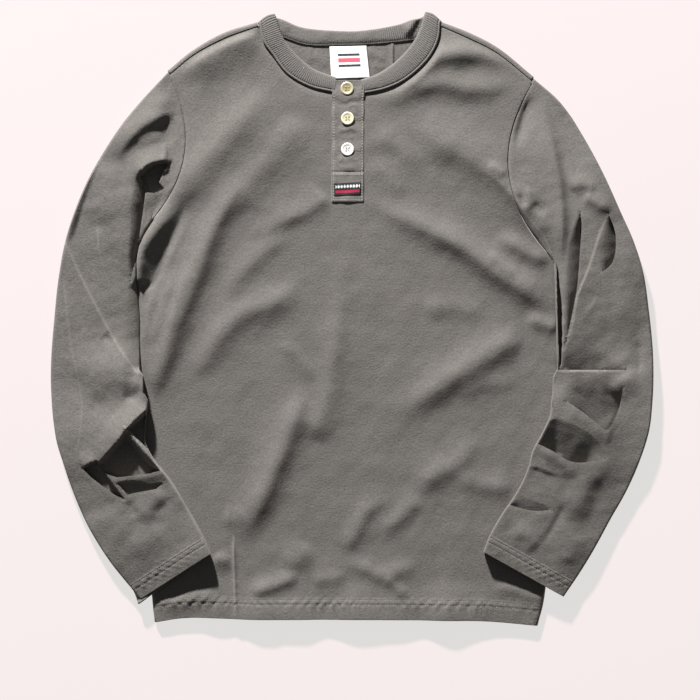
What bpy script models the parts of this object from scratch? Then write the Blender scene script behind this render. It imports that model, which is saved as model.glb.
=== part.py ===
"""A long-sleeved henley shirt laid flat, front up, as the pieces that are cut and sewn.

Tables are in millimetres: +X to the wearer's left, +Y to the collar, +Z up from the surface that it lies on.
Left and right are the wearer's, so the right sleeve lies at -X. Each cloth piece is modelled as its middle
surface and takes its wall from a Solidify modifier.
"""

import math

import bpy
import numpy as np
from mathutils.geometry import delaunay_2d_cdt

MM = 0.001

# Driving sizes
JERSEY = 1.5  # wall of the body and sleeves
RIB = 2.2  # wall of the neckband
STRIP = 1.6  # wall of the placket strips
LABEL = 0.8
SEAM_GAP = 0.6
SHOULDER_GAP = 1.2  # in plan, where the back's edge comes round the shoulder at a slant
ARMHOLE_GAP = 0.9
UNDERARM_GAP = 2.4  # by which a sleeve stands off the body where its seam ends
BACK_LEVEL = JERSEY / 2  # middle surface of the back panel, flat on the floor
FRONT_LEVEL = 6.0  # middle surface of the calm front panel
SIDE_FOOT = 2.7  # where the front panel meets the back at the side seams
SIDE_ROUND = 8.0  # width over which the front panel rounds down to its side seams
SHOULDER_RADIUS = (FRONT_LEVEL - BACK_LEVEL) / 2
SHOULDER_BOX = (255.0, 95.0)  # the y above which and the distance from the middle past which the shoulders lie
OVER_BODY = FRONT_LEVEL + 2.4  # lower wall of a forearm where it lies on the body
CLIMB = 14.0  # run over which that wall climbs from the floor onto the body
CLIMB_OFFSET = 6.0  # how far outside the body's edge the climb ends
CLIMB_START_Y = -20.0
CLIMB_END_Y = -60.0
HEM_RISE = 4.0  # how far the open front hem stands off the back
HEM_RISE_RUN = 50.0
HEM_Y = -336.0
HEM_OPEN_HALF = 150.0  # half the width over which the hem stands open, and the run at its ends
HEM_OPEN_RUN = 40.0
SEAM_CALM = 12.0  # width beside a seam over which folds fade out
SEAM_BLEND = 2.5  # table rows over which a sleeve takes up its own thickness from the armhole
SEAM_STAND = 1.5  # table rows over which its gap to the armhole closes
FOREARM_TOP = (-60.0, 232.0)  # y where a forearm starts to cover the body, and how far out it reaches in there
FOREARM_CUFF = (-262.0, 150.0)  # the same at the cuff
FOREARM_START_Y = -45.0
FOREARM_START_RUN = 25.0
FOREARM_SIDE_RUN = 14.0
NECK_CENTRE = (-3.0, 330.0)
CREST_POWER = 1.5  # 2 is a round crest, 1 a knife edge

# Mesh steps
PANEL_STEP = 24.0
BACK_STEP = 70.0
SIDE_ROWS = (1.2, 4.0, 9.0)  # insets of the extra points where the front rounds down to its side seams
EDGE_STEP = 12.0
SHOULDER_STEP = 4.0
ARMHOLE_POINTS = 22
SLEEVE_FLAT_POINTS = 5
SLEEVE_RINGS = 28
BAND_SECTIONS = 52

# Colours and finish
GREY = (0.125, 0.115, 0.105)
GREY_RIB = (0.135, 0.125, 0.115)
BRASS = (0.80, 0.68, 0.42)
PEARL = (0.86, 0.84, 0.78)
WHITE = (0.85, 0.85, 0.84)
BLACK = (0.02, 0.02, 0.022)

# Shoulder folds from the neck out: the outline, and how far inside it the forward shoulder seam lies
SHOULDERS = {
    -1: (
        # x, y, seam_inside
        (-108, 331.5, 4.6),
        (-144, 320, 6.2),
        (-179, 300, 4.8),
        (-206.5, 277.5, 4.6),
    ),
    1: (
        (101, 332.0, 4.6),
        (133, 319.5, 6.2),
        (166, 301.5, 5.4),
        (203.5, 270.5, 4.6),
    ),
}

# Side seams from the underarm to the hem corner
SIDES = {
    -1: ((-222, 110), (-230, 98), (-236, 86), (-240, 66), (-240, 36), (-237, 0), (-237, -60), (-234, -170),
         (-224, -300), (-220, -339)),
    1: ((226, 65), (228.5, 40), (230, 0), (231, -58), (226, -180), (216, -300), (207, -343)),
}

HEM = ((-220, -339), (-180, -334), (-105, -336), (0, -336), (100, -337), (150, -338), (207, -343))

# Neckline of the back panel
BACK_NECK = (
    (-108, 326), (-92, 320), (-76, 314), (-47, 305.5), (-3, 306), (48, 309), (73, 312.6), (90, 320), (101, 327)
)

# Sleeve sections from the armhole to the cuff. Outer is the fold away from the body, inner the fold beside or on
# it; bow bends the section towards the collar; puff is the height of the flattened tube, edge the width over
# which it rounds off.
SLEEVES = {
    -1: (
        # outer_x, outer_y, inner_x, inner_y, bow, puff, edge
        (-208, 276, -222, 110, 29, 5.3, 3),
        (-238, 241, -234.5, 98, 24, 8, 5),
        (-266, 203, -243.5, 78, 18, 10, 7),
        (-290, 163, -245, 52, 12, 11, 8),
        (-307, 125, -244, 22, 8, 11, 8),
        (-320, 85, -241.5, -8, 6, 11, 8),
        (-328, 40, -241, -36, 4, 11, 8),
        (-332, 0, -240.5, -58, 2, 11, 8),
        (-335, -35, -235, -76, 0, 11, 8),
        (-336, -65, -228, -93, 0, 10, 7),
        (-335, -90, -234, -107, 0, 9, 7),
        (-333, -112, -237, -122, 0, 9, 6),
        (-329, -137, -232, -138, 0, 9, 6),
        (-322, -160, -221, -157, 0, 9, 6),
        (-311, -193, -203, -180, 0, 9, 6),
        (-294, -232, -186, -208, 0, 9, 6),
        (-269, -272, -170, -236, 0, 9, 6),
        (-236, -313, -158, -262, 0, 9, 6),
    ),
    1: (
        (205, 269, 226, 65, 41.5, 5.3, 3),
        (233, 242, 234.5, 46, 20, 8, 5),
        (257, 205, 236, 29, 14, 10, 7),
        (279, 164, 237, 9, 9, 11, 8),
        (299, 120, 237, -12, 5, 11, 8),
        (314, 86, 236.5, -30, 4, 11, 8),
        (325, 50, 236, -46, 0, 11, 8),
        (331, 10, 232, -61, 0, 11, 8),
        (335, -28, 227, -75, 0, 11, 8),
        (336, -60, 223, -90, 0, 10, 7),
        (335, -90, 221, -108, 0, 9, 7),
        (331, -125, 212, -128, 0, 9, 6),
        (320, -160, 202, -147, 0, 9, 6),
        (306, -192, 196, -169, 0, 9, 6),
        (288, -224, 184, -194, 0, 9, 6),
        (270, -257, 167, -219, 0, 9, 6),
        (253, -285, 154, -242, 0, 9, 6),
        (236, -310, 147, -260, 0, 9, 6),
    ),
}

# Neckband sections from the placket's right edge round the right shoulder, the back and the left shoulder to the
# placket again: the edge that is sewn on, the free edge, and how high the middle surface lies there (0 on the
# back panel, 1 on the front)
NECKBAND = (
    # seam_x, seam_y, free_x, free_y, level
    (-18.5, 253.2, -18.5, 269.6, 1),
    (-47, 260, -41, 278, 1),
    (-72, 274.5, -57, 289.5, 1),
    (-88, 295, -71, 304, 1),
    (-99, 311, -79.5, 318, 1),
    (-103, 328, -85.5, 337.5, 1),
    (-105, 330.5, -87.5, 340, 0.5),
    (-103, 328, -86, 337, 0),
    (-90, 321, -83.5, 336, 0),
    (-76, 315, -78, 334.5, 0),
    (-47, 306.5, -52, 325, 0),
    (-3, 307, -6, 321.5, 0),
    (24, 308, 23, 323.5, 0),
    (48, 310, 52, 329, 0),
    (73, 313.6, 75, 336, 0),
    (88, 321, 80, 338, 0),
    (98, 329.5, 81.5, 340, 0),
    (99.5, 332, 83, 342.5, 0.5),
    (98, 329.5, 81.5, 340, 1),
    (95.5, 311, 76, 323, 1),
    (84, 290, 66, 305, 1),
    (62, 269.5, 49, 287, 1),
    (38, 257.6, 29, 273.5, 1),
    (9.5, 251.6, 9.5, 266.5, 1),
)
BAND_FRONT = FRONT_LEVEL + 0.5
BAND_BACK = RIB / 2 + 0.4

# The largest folds of the body. Each is a crest along an arc through its start, middle and end; collar_side and
# hem_side are its widths on either side, and peak is where along it the crest is highest.
BODY_FOLDS = (
    # x0, y0, xm, ym, x1, y1, collar_side, hem_side, peak, height
    (-92, 245, -165, 160, -238, 62, 22, 13, 0.85, 7),
    (-62, 205, -160, 80, -215, -72, 22, 15, 0.5, 6.5),
    (-58, 32, -125, 2, -190, -72, 16, 14, 0.5, 3.5),
    (-28, 128, -95, 98, -135, 35, 15, 12, 0.3, 2.5),
    (12, 130, 115, 84, 228, 12, 20, 14, 0.7, 5),
    (78, 299, 130, 304, 186, 288, 12, 11, 0.4, 3.5),
    (15, 243, 100, 259, 178, 262, 14, 11, 0.5, 4),
    (95, 238, 150, 178, 220, 78, 22, 16, 0.6, 4),
    (45, -98, 115, -52, 205, -30, 15, 13, 0.6, 5.5),
    (-48, -84, -76, -150, -120, -252, 14, 10, 0.35, 6),
    (55, -208, 110, -168, 178, -184, 15, 12, 0.5, 3.5),
)

SLEEVE_FOLDS = {
    -1: (
        (-196, 254, -235, 226, -276, 178, 15, 9, 0.5, 4),
        (-212, 188, -252, 150, -262, 50, 16, 12, 0.35, 6),
        (-304, -66, -268, -60, -233, -74, 18, 10, 0.6, 5),
        (-278, -152, -256, -122, -232, -96, 12, 10, 0.6, 5),
        (-285, -186, -240, -176, -206, -174, 10, 9, 0.6, 5),
        (-232, -262, -200, -226, -182, -196, 14, 12, 0.5, 2.5),
    ),
    1: (
        (208, 232, 212, 165, 226, 84, 12, 14, 0.5, 3),
        (278, 92, 257, 30, 236, -44, 12, 16, 0.5, 6),
        (234, -62, 272, -64, 312, -34, 9, 18, 0.4, 6),
        (232, -96, 258, -112, 288, -134, 12, 10, 0.5, 5),
        (206, -142, 238, -166, 262, -186, 14, 10, 0.4, 4),
        (190, -222, 216, -234, 240, -246, 14, 12, 0.5, 2.5),
    ),
}

# Placket: centre line, width and the cut-out of the front panel under it
PLACKET_TOP = (-4.2, 267.0)
PLACKET_FOOT = (-4.8, 130.0)
PLACKET_WIDTH = 36.0
INNER_WIDTH = 26.0
SLIT_WIDTH = 28.0
SLIT_FOOT_Y = 135.0
OUTER_LEVEL = FRONT_LEVEL + RIB / 2 + 0.5 + STRIP / 2 + 0.4  # clears the ends of the neckband
INNER_LEVEL = FRONT_LEVEL - 0.2

BUTTONS = (
    # name, x, y, colour
    ("button_top", -5.5, 257.5, BRASS),
    ("button_middle", -5.0, 224.0, BRASS),
    ("button_bottom", -5.0, 189.5, PEARL),
)
BUTTON_RADIUS = 7.25
BUTTON_PROFILE = (
    # share of the radius, height
    (0.0, 1.9),
    (0.62, 1.9),
    (0.74, 2.5),
    (0.88, 2.6),
    (1.0, 1.6),
    (1.0, 0.9),
    (0.80, 0.0),
    (0.0, 0.0),
)
BUTTON_SIDES = 20

NECK_LABEL = ((-25, 304.5), (16, 305.5), (20, 270), (-23, 268.5))  # corners from the upper right one, the wearer's
PLACKET_LABEL = ((-20, 151.5), (10, 153), (9.5, 139), (-20, 137.5))
LABEL_STEPS = 3


def clear_scene():
    for thing in list(bpy.data.objects):
        bpy.data.objects.remove(thing, do_unlink=True)


def material(name, colour, roughness, metallic=0.0):
    made = bpy.data.materials.new(name)
    made.use_nodes = True
    shader = made.node_tree.nodes["Principled BSDF"]
    shader.inputs["Base Color"].default_value = (*colour, 1.0)
    shader.inputs["Roughness"].default_value = roughness
    shader.inputs["Metallic"].default_value = metallic
    return made


def add_mesh(name, vertices_mm, faces, finish, wall=0.0):
    """An object from millimetre points, with a wall about its middle surface if wall is given."""
    mesh = bpy.data.meshes.new(name)
    mesh.from_pydata([tuple(MM * c for c in v) for v in vertices_mm], [], [tuple(map(int, f)) for f in faces])
    mesh.validate()
    mesh.materials.append(finish)
    thing = bpy.data.objects.new(name, mesh)
    bpy.context.scene.collection.objects.link(thing)
    mesh.shade_smooth()
    if wall:
        solidify = thing.modifiers.new("wall", "SOLIDIFY")
        solidify.thickness = wall * MM
        solidify.offset = 0.0
    return thing


def smooth_step(t):
    t = np.clip(t, 0.0, 1.0)
    return t * t * (3.0 - 2.0 * t)


def round_over(t):
    """0 to 1 along a quarter circle."""
    return np.sqrt(1.0 - (1.0 - np.clip(t, 0.0, 1.0)) ** 2)


def spline_rows(rows, count):
    """Rows of a table read at count even steps, on a Catmull-Rom spline through them."""
    table = np.array(rows, float)
    padded = np.vstack([2 * table[0] - table[1], table, 2 * table[-1] - table[-2]])
    stations = np.linspace(0, len(table) - 1, count)
    first = np.minimum(stations.astype(int), len(table) - 2)
    t = (stations - first)[:, None]
    a, b, c, d = (padded[first + k] for k in range(4))
    return 0.5 * (2 * b + (c - a) * t + (2 * a - 5 * b + 4 * c - d) * t**2 + (3 * b - a - 3 * c + d) * t**3)


def curve(points, step):
    """A smooth path through the points, resampled at about the given step."""
    fine = spline_rows(points, 24 * len(points))
    along = np.concatenate([[0], np.cumsum(np.linalg.norm(np.diff(fine[:, :2], axis=0), axis=1))])
    even = np.linspace(0, along[-1], max(2, round(along[-1] / step) + 1))
    return np.stack([np.interp(even, along, fine[:, k]) for k in range(fine.shape[1])], axis=1)


def left_normals(path):
    tangent = np.gradient(path[:, :2], axis=0)
    tangent /= np.linalg.norm(tangent, axis=1)[:, None]
    return np.stack([-tangent[:, 1], tangent[:, 0]], axis=1)


def nearest(points, path):
    """Distance to the path, offset from its foot point, and that foot's share of the path's length."""
    best = np.full(len(points), 1e9)
    offset = np.zeros((len(points), 2))
    share = np.zeros(len(points))
    spans = len(path) - 1
    for k in range(spans):
        start, run = path[k], path[k + 1] - path[k]
        t = np.clip((points - start) @ run / (run @ run), 0, 1)
        reach = points - start - t[:, None] * run
        distance = np.linalg.norm(reach, axis=1)
        closer = distance < best
        best[closer] = distance[closer]
        offset[closer] = reach[closer]
        share[closer] = (k + t[closer]) / spans
    return best, offset, share


def fold_heights(points, folds):
    """Sum of the folds' crests at plan points."""
    total = np.zeros(len(points))
    for x0, y0, xm, ym, x1, y1, collar_side, hem_side, peak, height in folds:
        t = np.linspace(0, 1, 13)[:, None]
        start, middle, end = np.array([x0, y0]), np.array([xm, ym]), np.array([x1, y1])
        pull = 2 * middle - (start + end) / 2
        path = (1 - t) ** 2 * start + 2 * t * (1 - t) * pull + t**2 * end
        distance, offset, share = nearest(points, path)
        width = np.where(offset @ np.array([-0.25, 1.0]) > 0, collar_side, hem_side)
        rise = np.where(share < peak, share / peak, (1 - share) / (1 - peak))
        total += height * np.exp(-((distance / width) ** CREST_POWER)) * smooth_step(rise) ** 0.6
    return total


def side_x(y, side):
    """How far out the body's side seam lies at a height y."""
    path = np.array(SIDES[side], float)[::-1]
    return np.abs(np.interp(y, path[:, 1], path[:, 0]))


def under_forearm(points):
    """1 where a forearm lies on the body, 0 where the body shows."""
    x, y = points[:, 0], points[:, 1]
    reach = np.interp(-y, [-FOREARM_TOP[0], -FOREARM_CUFF[0]], [FOREARM_TOP[1], FOREARM_CUFF[1]])
    beside = smooth_step((np.abs(x) - reach + CLIMB_OFFSET) / FOREARM_SIDE_RUN)
    return beside * smooth_step((FOREARM_START_Y - y) / FOREARM_START_RUN)


def front_height(points):
    """Middle surface of the front panel."""
    folds = fold_heights(points, BODY_FOLDS) * (1 - under_forearm(points))
    x, y = points[:, 0], points[:, 1]
    seams = [shoulder_line(side, EDGE_STEP, SHOULDER_GAP)[0] for side in (-1, 1)] + [neck_edge()]
    calm = np.ones(len(points))
    for seam in seams:
        calm = np.minimum(calm, smooth_step((nearest(points, seam)[0] - 1) / SEAM_CALM))
    near_hem = smooth_step((HEM_RISE_RUN + HEM_Y - y) / HEM_RISE_RUN)
    rise = near_hem * smooth_step((HEM_OPEN_HALF - np.abs(x)) / HEM_OPEN_RUN)
    height = FRONT_LEVEL + folds * calm + HEM_RISE * rise
    for side in (-1, 1):
        distance = nearest(points, curve(SIDES[side], EDGE_STEP))[0]
        height = SIDE_FOOT + (height - SIDE_FOOT) * round_over(distance / SIDE_ROUND)
    return height


def shoulder_line(side, step, inside):
    """The forward shoulder seam moved inside by a gap, the fold line, and the strip's width past the fold."""
    path = curve(SHOULDERS[side], step)
    outward = left_normals(path) * side
    outline, seam_inside = path[:, :2], path[:, 2]
    seam = outline - outward * (seam_inside + inside)[:, None]
    fold = outline - outward * (SHOULDER_RADIUS + JERSEY / 2)
    strip = seam_inside - SHOULDER_RADIUS - JERSEY / 2
    return seam, fold, strip, outward


def neck_edge():
    """Neckline of the front panel, just outside the neckband's seam edge."""
    front = [row[:2] for row in NECKBAND if row[4] == 1]
    right, left = front[:6], front[6:]
    path = np.vstack([curve(right[::-1], EDGE_STEP), curve(left[::-1], EDGE_STEP)])
    away = path - np.array(NECK_CENTRE)
    return path + away / np.linalg.norm(away, axis=1)[:, None] * SEAM_GAP


def armhole(side, count):
    """The armhole seam from the shoulder tip to the underarm."""
    return section_plan(np.array(SLEEVES[side][0], float), side, np.linspace(0, 1, count))


def section_plan(row, side, share):
    """Plan points of a sleeve section, share 0 at the outer fold and 1 at the inner one."""
    outer, inner = row[:2], row[2:4]
    chord = inner - outer
    across = np.array([-chord[1], chord[0]]) / np.linalg.norm(chord) * -side
    return outer + share[:, None] * chord + (4 * row[4] * share * (1 - share))[:, None] * across


def fill_outline(outline, step, more=()):
    """Triangles of a closed plan outline with an even field of points inside it."""
    low, high = outline.min(axis=0), outline.max(axis=0)
    rows = np.arange(low[1] + step / 2, high[1], step * math.sqrt(0.75))
    field = [(x + (k % 2) * step / 2, y) for k, y in enumerate(rows) for x in np.arange(low[0], high[0], step)]
    closed = np.vstack([outline, outline[:1]])
    field = np.array(field)
    field = field[nearest(field, closed)[0] > 0.55 * step]
    if len(more):
        more = np.array(more)
        more = more[nearest(more, closed)[0] > 0.4]
        field = field[nearest(field, more)[0] > 0.5 * step] if len(more) > 1 else field
        field = np.vstack([field, more])
    points = [tuple(p) for p in np.vstack([outline, field])]
    result = delaunay_2d_cdt(points, [], [list(range(len(outline)))], 1, 1e-5)
    return np.array([tuple(v) for v in result[0]]), [tuple(f) for f in result[2]]


def without_doubles(path, least=0.3):
    kept = [path[0]]
    for point in path[1:]:
        if np.linalg.norm(point - kept[-1]) > least:
            kept.append(point)
    return np.array(kept)


def front_outline():
    """Anticlockwise from the right shoulder's neck point down the right side, along the hem and up the left."""
    parts = []
    for side in (-1, 1):
        seam = shoulder_line(side, EDGE_STEP, SHOULDER_GAP)[0]
        edge = np.vstack([seam, armhole(side, ARMHOLE_POINTS)[2:-1], curve(SIDES[side], EDGE_STEP)])
        parts.append(edge if side < 0 else edge[::-1])
    neck = neck_edge()
    middle = PLACKET_TOP[0]
    right = neck[neck[:, 0] < middle - SLIT_WIDTH / 2]
    left = neck[neck[:, 0] > middle + SLIT_WIDTH / 2]
    slit = [
        (middle + SLIT_WIDTH / 2, NECKBAND[-1][1] - SEAM_GAP),
        (middle + SLIT_WIDTH / 2, SLIT_FOOT_Y),
        (middle - SLIT_WIDTH / 2, SLIT_FOOT_Y),
        (middle - SLIT_WIDTH / 2, NECKBAND[0][1] - SEAM_GAP),
    ]
    outline = np.vstack([parts[0], curve(HEM, EDGE_STEP)[1:-1], parts[1], left[::-1], slit, right[::-1]])
    return without_doubles(outline)


def make_front_panel(finish):
    rows = []
    for side in (-1, 1):
        path = curve(SIDES[side], EDGE_STEP * 1.5)
        inward = left_normals(path) * -side
        rows += [p for inset in SIDE_ROWS for p in path + inward * inset]
    plan, faces = fill_outline(front_outline(), PANEL_STEP, rows)
    points = np.column_stack([plan, front_height(plan)])
    return add_mesh("front_panel", points, faces, finish, JERSEY)


def wrap_shoulder(plan, side, points):
    """Carries what lies past a shoulder's fold line round the fold and forward on top."""
    _, fold, _, outward = shoulder_line(side, SHOULDER_STEP, 0.0)
    _, offset, share = nearest(plan, fold)
    normal = np.stack([np.interp(share, np.linspace(0, 1, len(fold)), outward[:, k]) for k in (0, 1)], axis=1)
    past = np.einsum("ij,ij->i", offset, normal)
    beside = (plan[:, 1] > SHOULDER_BOX[0]) & (plan[:, 0] * side > SHOULDER_BOX[1])
    wrapped = (past > 1e-6) & beside
    half_turn = math.pi * SHOULDER_RADIUS
    turn = np.minimum(past, half_turn) / SHOULDER_RADIUS
    forward = np.maximum(past - half_turn, 0)
    foot = plan - offset
    there = foot + normal * (SHOULDER_RADIUS * np.sin(turn) - forward)[:, None] + (offset - normal * past[:, None])
    points[wrapped, :2] = there[wrapped]
    points[wrapped, 2] = (BACK_LEVEL + SHOULDER_RADIUS * (1 - np.cos(turn)))[wrapped]


def make_back_panel(finish):
    half_turn = math.pi * SHOULDER_RADIUS
    parts, rows = [], []
    for side in (-1, 1):
        _, fold, strip, outward = shoulder_line(side, EDGE_STEP, 0.0)
        far = fold + outward * (half_turn + strip)[:, None]
        rows += [p for k in (0.0, 0.25, 0.5, 0.75, 1.0) for p in (fold + outward * half_turn * k)[1:-1]]
        edge = np.vstack([fold[:1], far, fold[-1:], armhole(side, ARMHOLE_POINTS)[2:-1], curve(SIDES[side], EDGE_STEP)])
        parts.append(edge if side < 0 else edge[::-1])
    neck = curve(BACK_NECK, EDGE_STEP)[1:-1]
    outline = without_doubles(np.vstack([parts[0], curve(HEM, EDGE_STEP)[1:-1], parts[1], neck[::-1]]))
    plan, faces = fill_outline(outline, BACK_STEP, rows)
    points = np.column_stack([plan, np.full(len(plan), BACK_LEVEL)])
    for side in (-1, 1):
        wrap_shoulder(plan, side, points)
    return add_mesh("back_panel", points, faces, finish, JERSEY)


def forearm_base(points, side):
    """Middle surface of a sleeve's lower wall: on the floor, or on the body where the sleeve crosses it."""
    x, y = points[:, 0], points[:, 1]
    outside = np.abs(x) - side_x(y, side)
    crossing = smooth_step((CLIMB_START_Y - y) / (CLIMB_START_Y - CLIMB_END_Y))
    climb = 1 - smooth_step((outside - CLIMB_OFFSET) / CLIMB)
    return BACK_LEVEL + (OVER_BODY - BACK_LEVEL) * climb * crossing


def ring_shares(width, edge, inner_count):
    """Shares across a section, closer together where the tube rounds over its folds."""
    bend = edge / width * np.array([0.0, 0.12, 0.45, 1.0])
    flat = np.linspace(bend[-1], 1 - bend[-1], inner_count + 2)[1:-1]
    return np.concatenate([bend, flat, 1 - bend[::-1]])


def sleeve_ring(row, ring, side):
    """One closed section: over the top from the outer fold to the inner one, and back underneath."""
    width = np.linalg.norm(row[2:4] - row[:2])
    puff, edge = row[5], row[6]
    share = ring_shares(width, edge, SLEEVE_FLAT_POINTS)
    plan = section_plan(row, side, share)
    near_seam = max(0.0, 1 - ring / SEAM_STAND)
    plan[:, 0] += side * near_seam * (ARMHOLE_GAP + UNDERARM_GAP * share**3)
    bulge = round_over(np.minimum(share, 1 - share) * width / edge)
    base = forearm_base(plan, side)
    middle = base + puff / 2
    folds = fold_heights(plan, SLEEVE_FOLDS[side])
    own = middle + (puff / 2 + folds) * bulge
    at_seam = middle + (front_height(plan) - middle) * bulge
    blend = smooth_step(ring / SEAM_BLEND)
    top = at_seam + (own - at_seam) * blend
    bottom = middle - puff / 2 * bulge
    upper = np.column_stack([plan, top])
    lower = np.column_stack([plan, bottom])[1:-1]
    return np.vstack([upper, lower[::-1]])


def make_sleeve(name, side, finish):
    rows = spline_rows(SLEEVES[side], SLEEVE_RINGS)
    rows_apart = (len(SLEEVES[side]) - 1) / (SLEEVE_RINGS - 1)
    rings = [sleeve_ring(row, k * rows_apart, side) for k, row in enumerate(rows)]
    around = len(rings[0])
    faces = []
    for k in range(SLEEVE_RINGS - 1):
        for n in range(around):
            a, b = k * around + n, k * around + (n + 1) % around
            quad = (a, b, b + around, a + around)
            faces.append(quad if side > 0 else quad[::-1])
    return add_mesh(name, np.vstack(rings), faces, finish, JERSEY)


def make_neckband(finish):
    rows = spline_rows(NECKBAND, BAND_SECTIONS)
    level = np.clip(rows[:, 4], 0, 1)
    across = np.linspace(0, 1, 4)
    points = []
    for row, lift in zip(rows, level):
        for share in across:
            x, y = row[:2] + (row[2:4] - row[:2]) * share
            points.append((x, y, BAND_BACK + (BAND_FRONT - BAND_BACK) * lift))
    count = len(across)
    faces = [
        (k * count + n, k * count + n + 1, (k + 1) * count + n + 1, (k + 1) * count + n)
        for k in range(BAND_SECTIONS - 1)
        for n in range(count - 1)
    ]
    return add_mesh("neckband", points, faces, finish, RIB)


def strip_points(width, top, foot, level, steps):
    """A strip down the placket's centre line."""
    top, foot = np.array(top), np.array(foot)
    points = []
    for share in np.linspace(0, 1, steps + 1):
        x, y = top + (foot - top) * share
        points += [(x - width / 2, y, level), (x, y, level), (x + width / 2, y, level)]
    faces = []
    for k in range(steps):
        for n in (0, 1):
            a = k * 3 + n
            faces.append((a, a + 3, a + 4, a + 1))
    return points, faces


def make_placket(finish):
    points, faces = strip_points(PLACKET_WIDTH, PLACKET_TOP, PLACKET_FOOT, OUTER_LEVEL, 8)
    add_mesh("placket_outer", points, faces, finish, STRIP)
    inner_foot = (PLACKET_FOOT[0], SLIT_FOOT_Y + SEAM_GAP)
    points, faces = strip_points(INNER_WIDTH, PLACKET_TOP, inner_foot, INNER_LEVEL, 8)
    add_mesh("placket_inner", points, faces, finish, STRIP)


def make_button(name, x, y, colour):
    """A turned disc with a raised rim."""
    floor = OUTER_LEVEL + STRIP / 2 + 0.3
    rings = [r for r in BUTTON_PROFILE if r[0] > 0]
    points = [(x, y, floor + BUTTON_PROFILE[0][1]), (x, y, floor)]
    for share, height in rings:
        for k in range(BUTTON_SIDES):
            turn = 2 * math.pi * k / BUTTON_SIDES
            radius = BUTTON_RADIUS * share
            points.append((x + radius * math.cos(turn), y + radius * math.sin(turn), floor + height))
    faces = []
    last = 2 + (len(rings) - 1) * BUTTON_SIDES
    for k in range(BUTTON_SIDES):
        after = (k + 1) % BUTTON_SIDES
        faces.append((0, 2 + k, 2 + after))
        faces.append((1, last + after, last + k))
        for n in range(len(rings) - 1):
            a = 2 + n * BUTTON_SIDES
            faces.append((a + k, a + BUTTON_SIDES + k, a + BUTTON_SIDES + after, a + after))
    add_mesh(name, points, faces, material(name, colour, 0.35, 0.6 if colour == BRASS else 0.0))


def make_label(name, corners, level, finish):
    """A flat label between four corners."""
    a, b, c, d = (np.array(p, float) for p in corners)
    points = []
    for v in np.linspace(0, 1, LABEL_STEPS):
        for u in np.linspace(0, 1, LABEL_STEPS):
            x, y = (a * (1 - u) + b * u) * (1 - v) + (d * (1 - u) + c * u) * v
            points.append((x, y, level))
    faces = []
    for v in range(LABEL_STEPS - 1):
        for u in range(LABEL_STEPS - 1):
            k = v * LABEL_STEPS + u
            faces.append((k, k + LABEL_STEPS, k + LABEL_STEPS + 1, k + 1))
    add_mesh(name, points, faces, finish, LABEL)


def main():
    clear_scene()
    jersey = material("jersey", GREY, 0.9)
    make_back_panel(jersey)
    make_front_panel(jersey)
    make_sleeve("sleeve_right", -1, jersey)
    make_sleeve("sleeve_left", 1, jersey)
    make_neckband(material("rib", GREY_RIB, 0.9))
    make_placket(jersey)
    for name, x, y, colour in BUTTONS:
        make_button(name, x, y, colour)
    make_label("neck_label", NECK_LABEL, JERSEY + LABEL / 2 + 0.4, material("label_white", WHITE, 0.6))
    label_level = OUTER_LEVEL + STRIP / 2 + LABEL / 2 + 0.3
    make_label("placket_label", PLACKET_LABEL, label_level, material("label_black", BLACK, 0.6))


main()
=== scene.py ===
"""Looks of a long-sleeved henley shirt laid flat: folded jersey, ribbed neckband, stitching, buttons and labels.

Points and sizes are in millimetres: +X to the wearer's left, +Y to the collar, +Z up from the surface. Left and
right are the wearer's. Each cloth piece is a fine middle surface with a wall about it.
"""

import math

import bpy
import numpy as np
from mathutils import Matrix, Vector
from mathutils.geometry import delaunay_2d_cdt


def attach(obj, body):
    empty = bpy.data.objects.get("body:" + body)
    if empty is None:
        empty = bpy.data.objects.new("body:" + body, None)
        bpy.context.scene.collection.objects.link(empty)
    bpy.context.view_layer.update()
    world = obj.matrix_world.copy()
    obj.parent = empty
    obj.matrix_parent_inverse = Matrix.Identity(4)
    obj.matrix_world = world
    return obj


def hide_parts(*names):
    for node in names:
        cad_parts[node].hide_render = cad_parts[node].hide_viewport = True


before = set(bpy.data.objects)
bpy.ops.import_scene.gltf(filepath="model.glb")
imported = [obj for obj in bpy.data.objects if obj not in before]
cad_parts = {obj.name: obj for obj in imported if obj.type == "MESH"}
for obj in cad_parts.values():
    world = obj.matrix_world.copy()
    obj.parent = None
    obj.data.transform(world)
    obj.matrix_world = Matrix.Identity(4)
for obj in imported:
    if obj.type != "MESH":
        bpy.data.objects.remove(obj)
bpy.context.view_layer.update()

MM = 0.001

# The solids' own sizes
JERSEY = 1.5
RIB = 2.2
LABEL = 0.8
SEAM_GAP = 0.35
BACK_LEVEL = JERSEY / 2
FRONT_LEVEL = 6.0
FRONT_LOWEST = FRONT_LEVEL - 2.2
SIDE_FOOT = 2.7
SIDE_ROUND = 3.5
SHOULDER_RADIUS = (FRONT_LEVEL - BACK_LEVEL) / 2
SHOULDER_GAP = 0.9
OVER_BODY = FRONT_LEVEL + 2.4
CLIMB = 14.0
TOP_CLIMB = 75.0  # the upper wall spans the step softly
OUTER_EDGE = 0.25  # the outer fold is tighter than the inner one
INNER_EDGE = {-1: 1.5, 1: 0.75}
SEAM_DIP = {-1: 0.6, 1: 1.5}  # how far the sleeve dips at the armhole seam
TUCK = {-1: 1.0, 1: 0.0}  # 1 where the sleeve tucks in flat under the body's side
CLIMB_OFFSET = 6.0
CLIMB_RISE = (-20.0, -60.0)  # the y between which the lower wall climbs
TOP_RISE = {-1: (-20.0, -60.0), 1: (-57.58, -57.62)}  # and the upper one, sharply at the left elbow's crease
SIDE_LAP = {-1: 1.2, 1: -1.2}  # how far off the side seam the sleeve's inner fold lies beside the body
TUCK_RUN = (26.0, 9.0)  # how wide the tucked part is, beside the waist and beside the armhole
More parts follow.
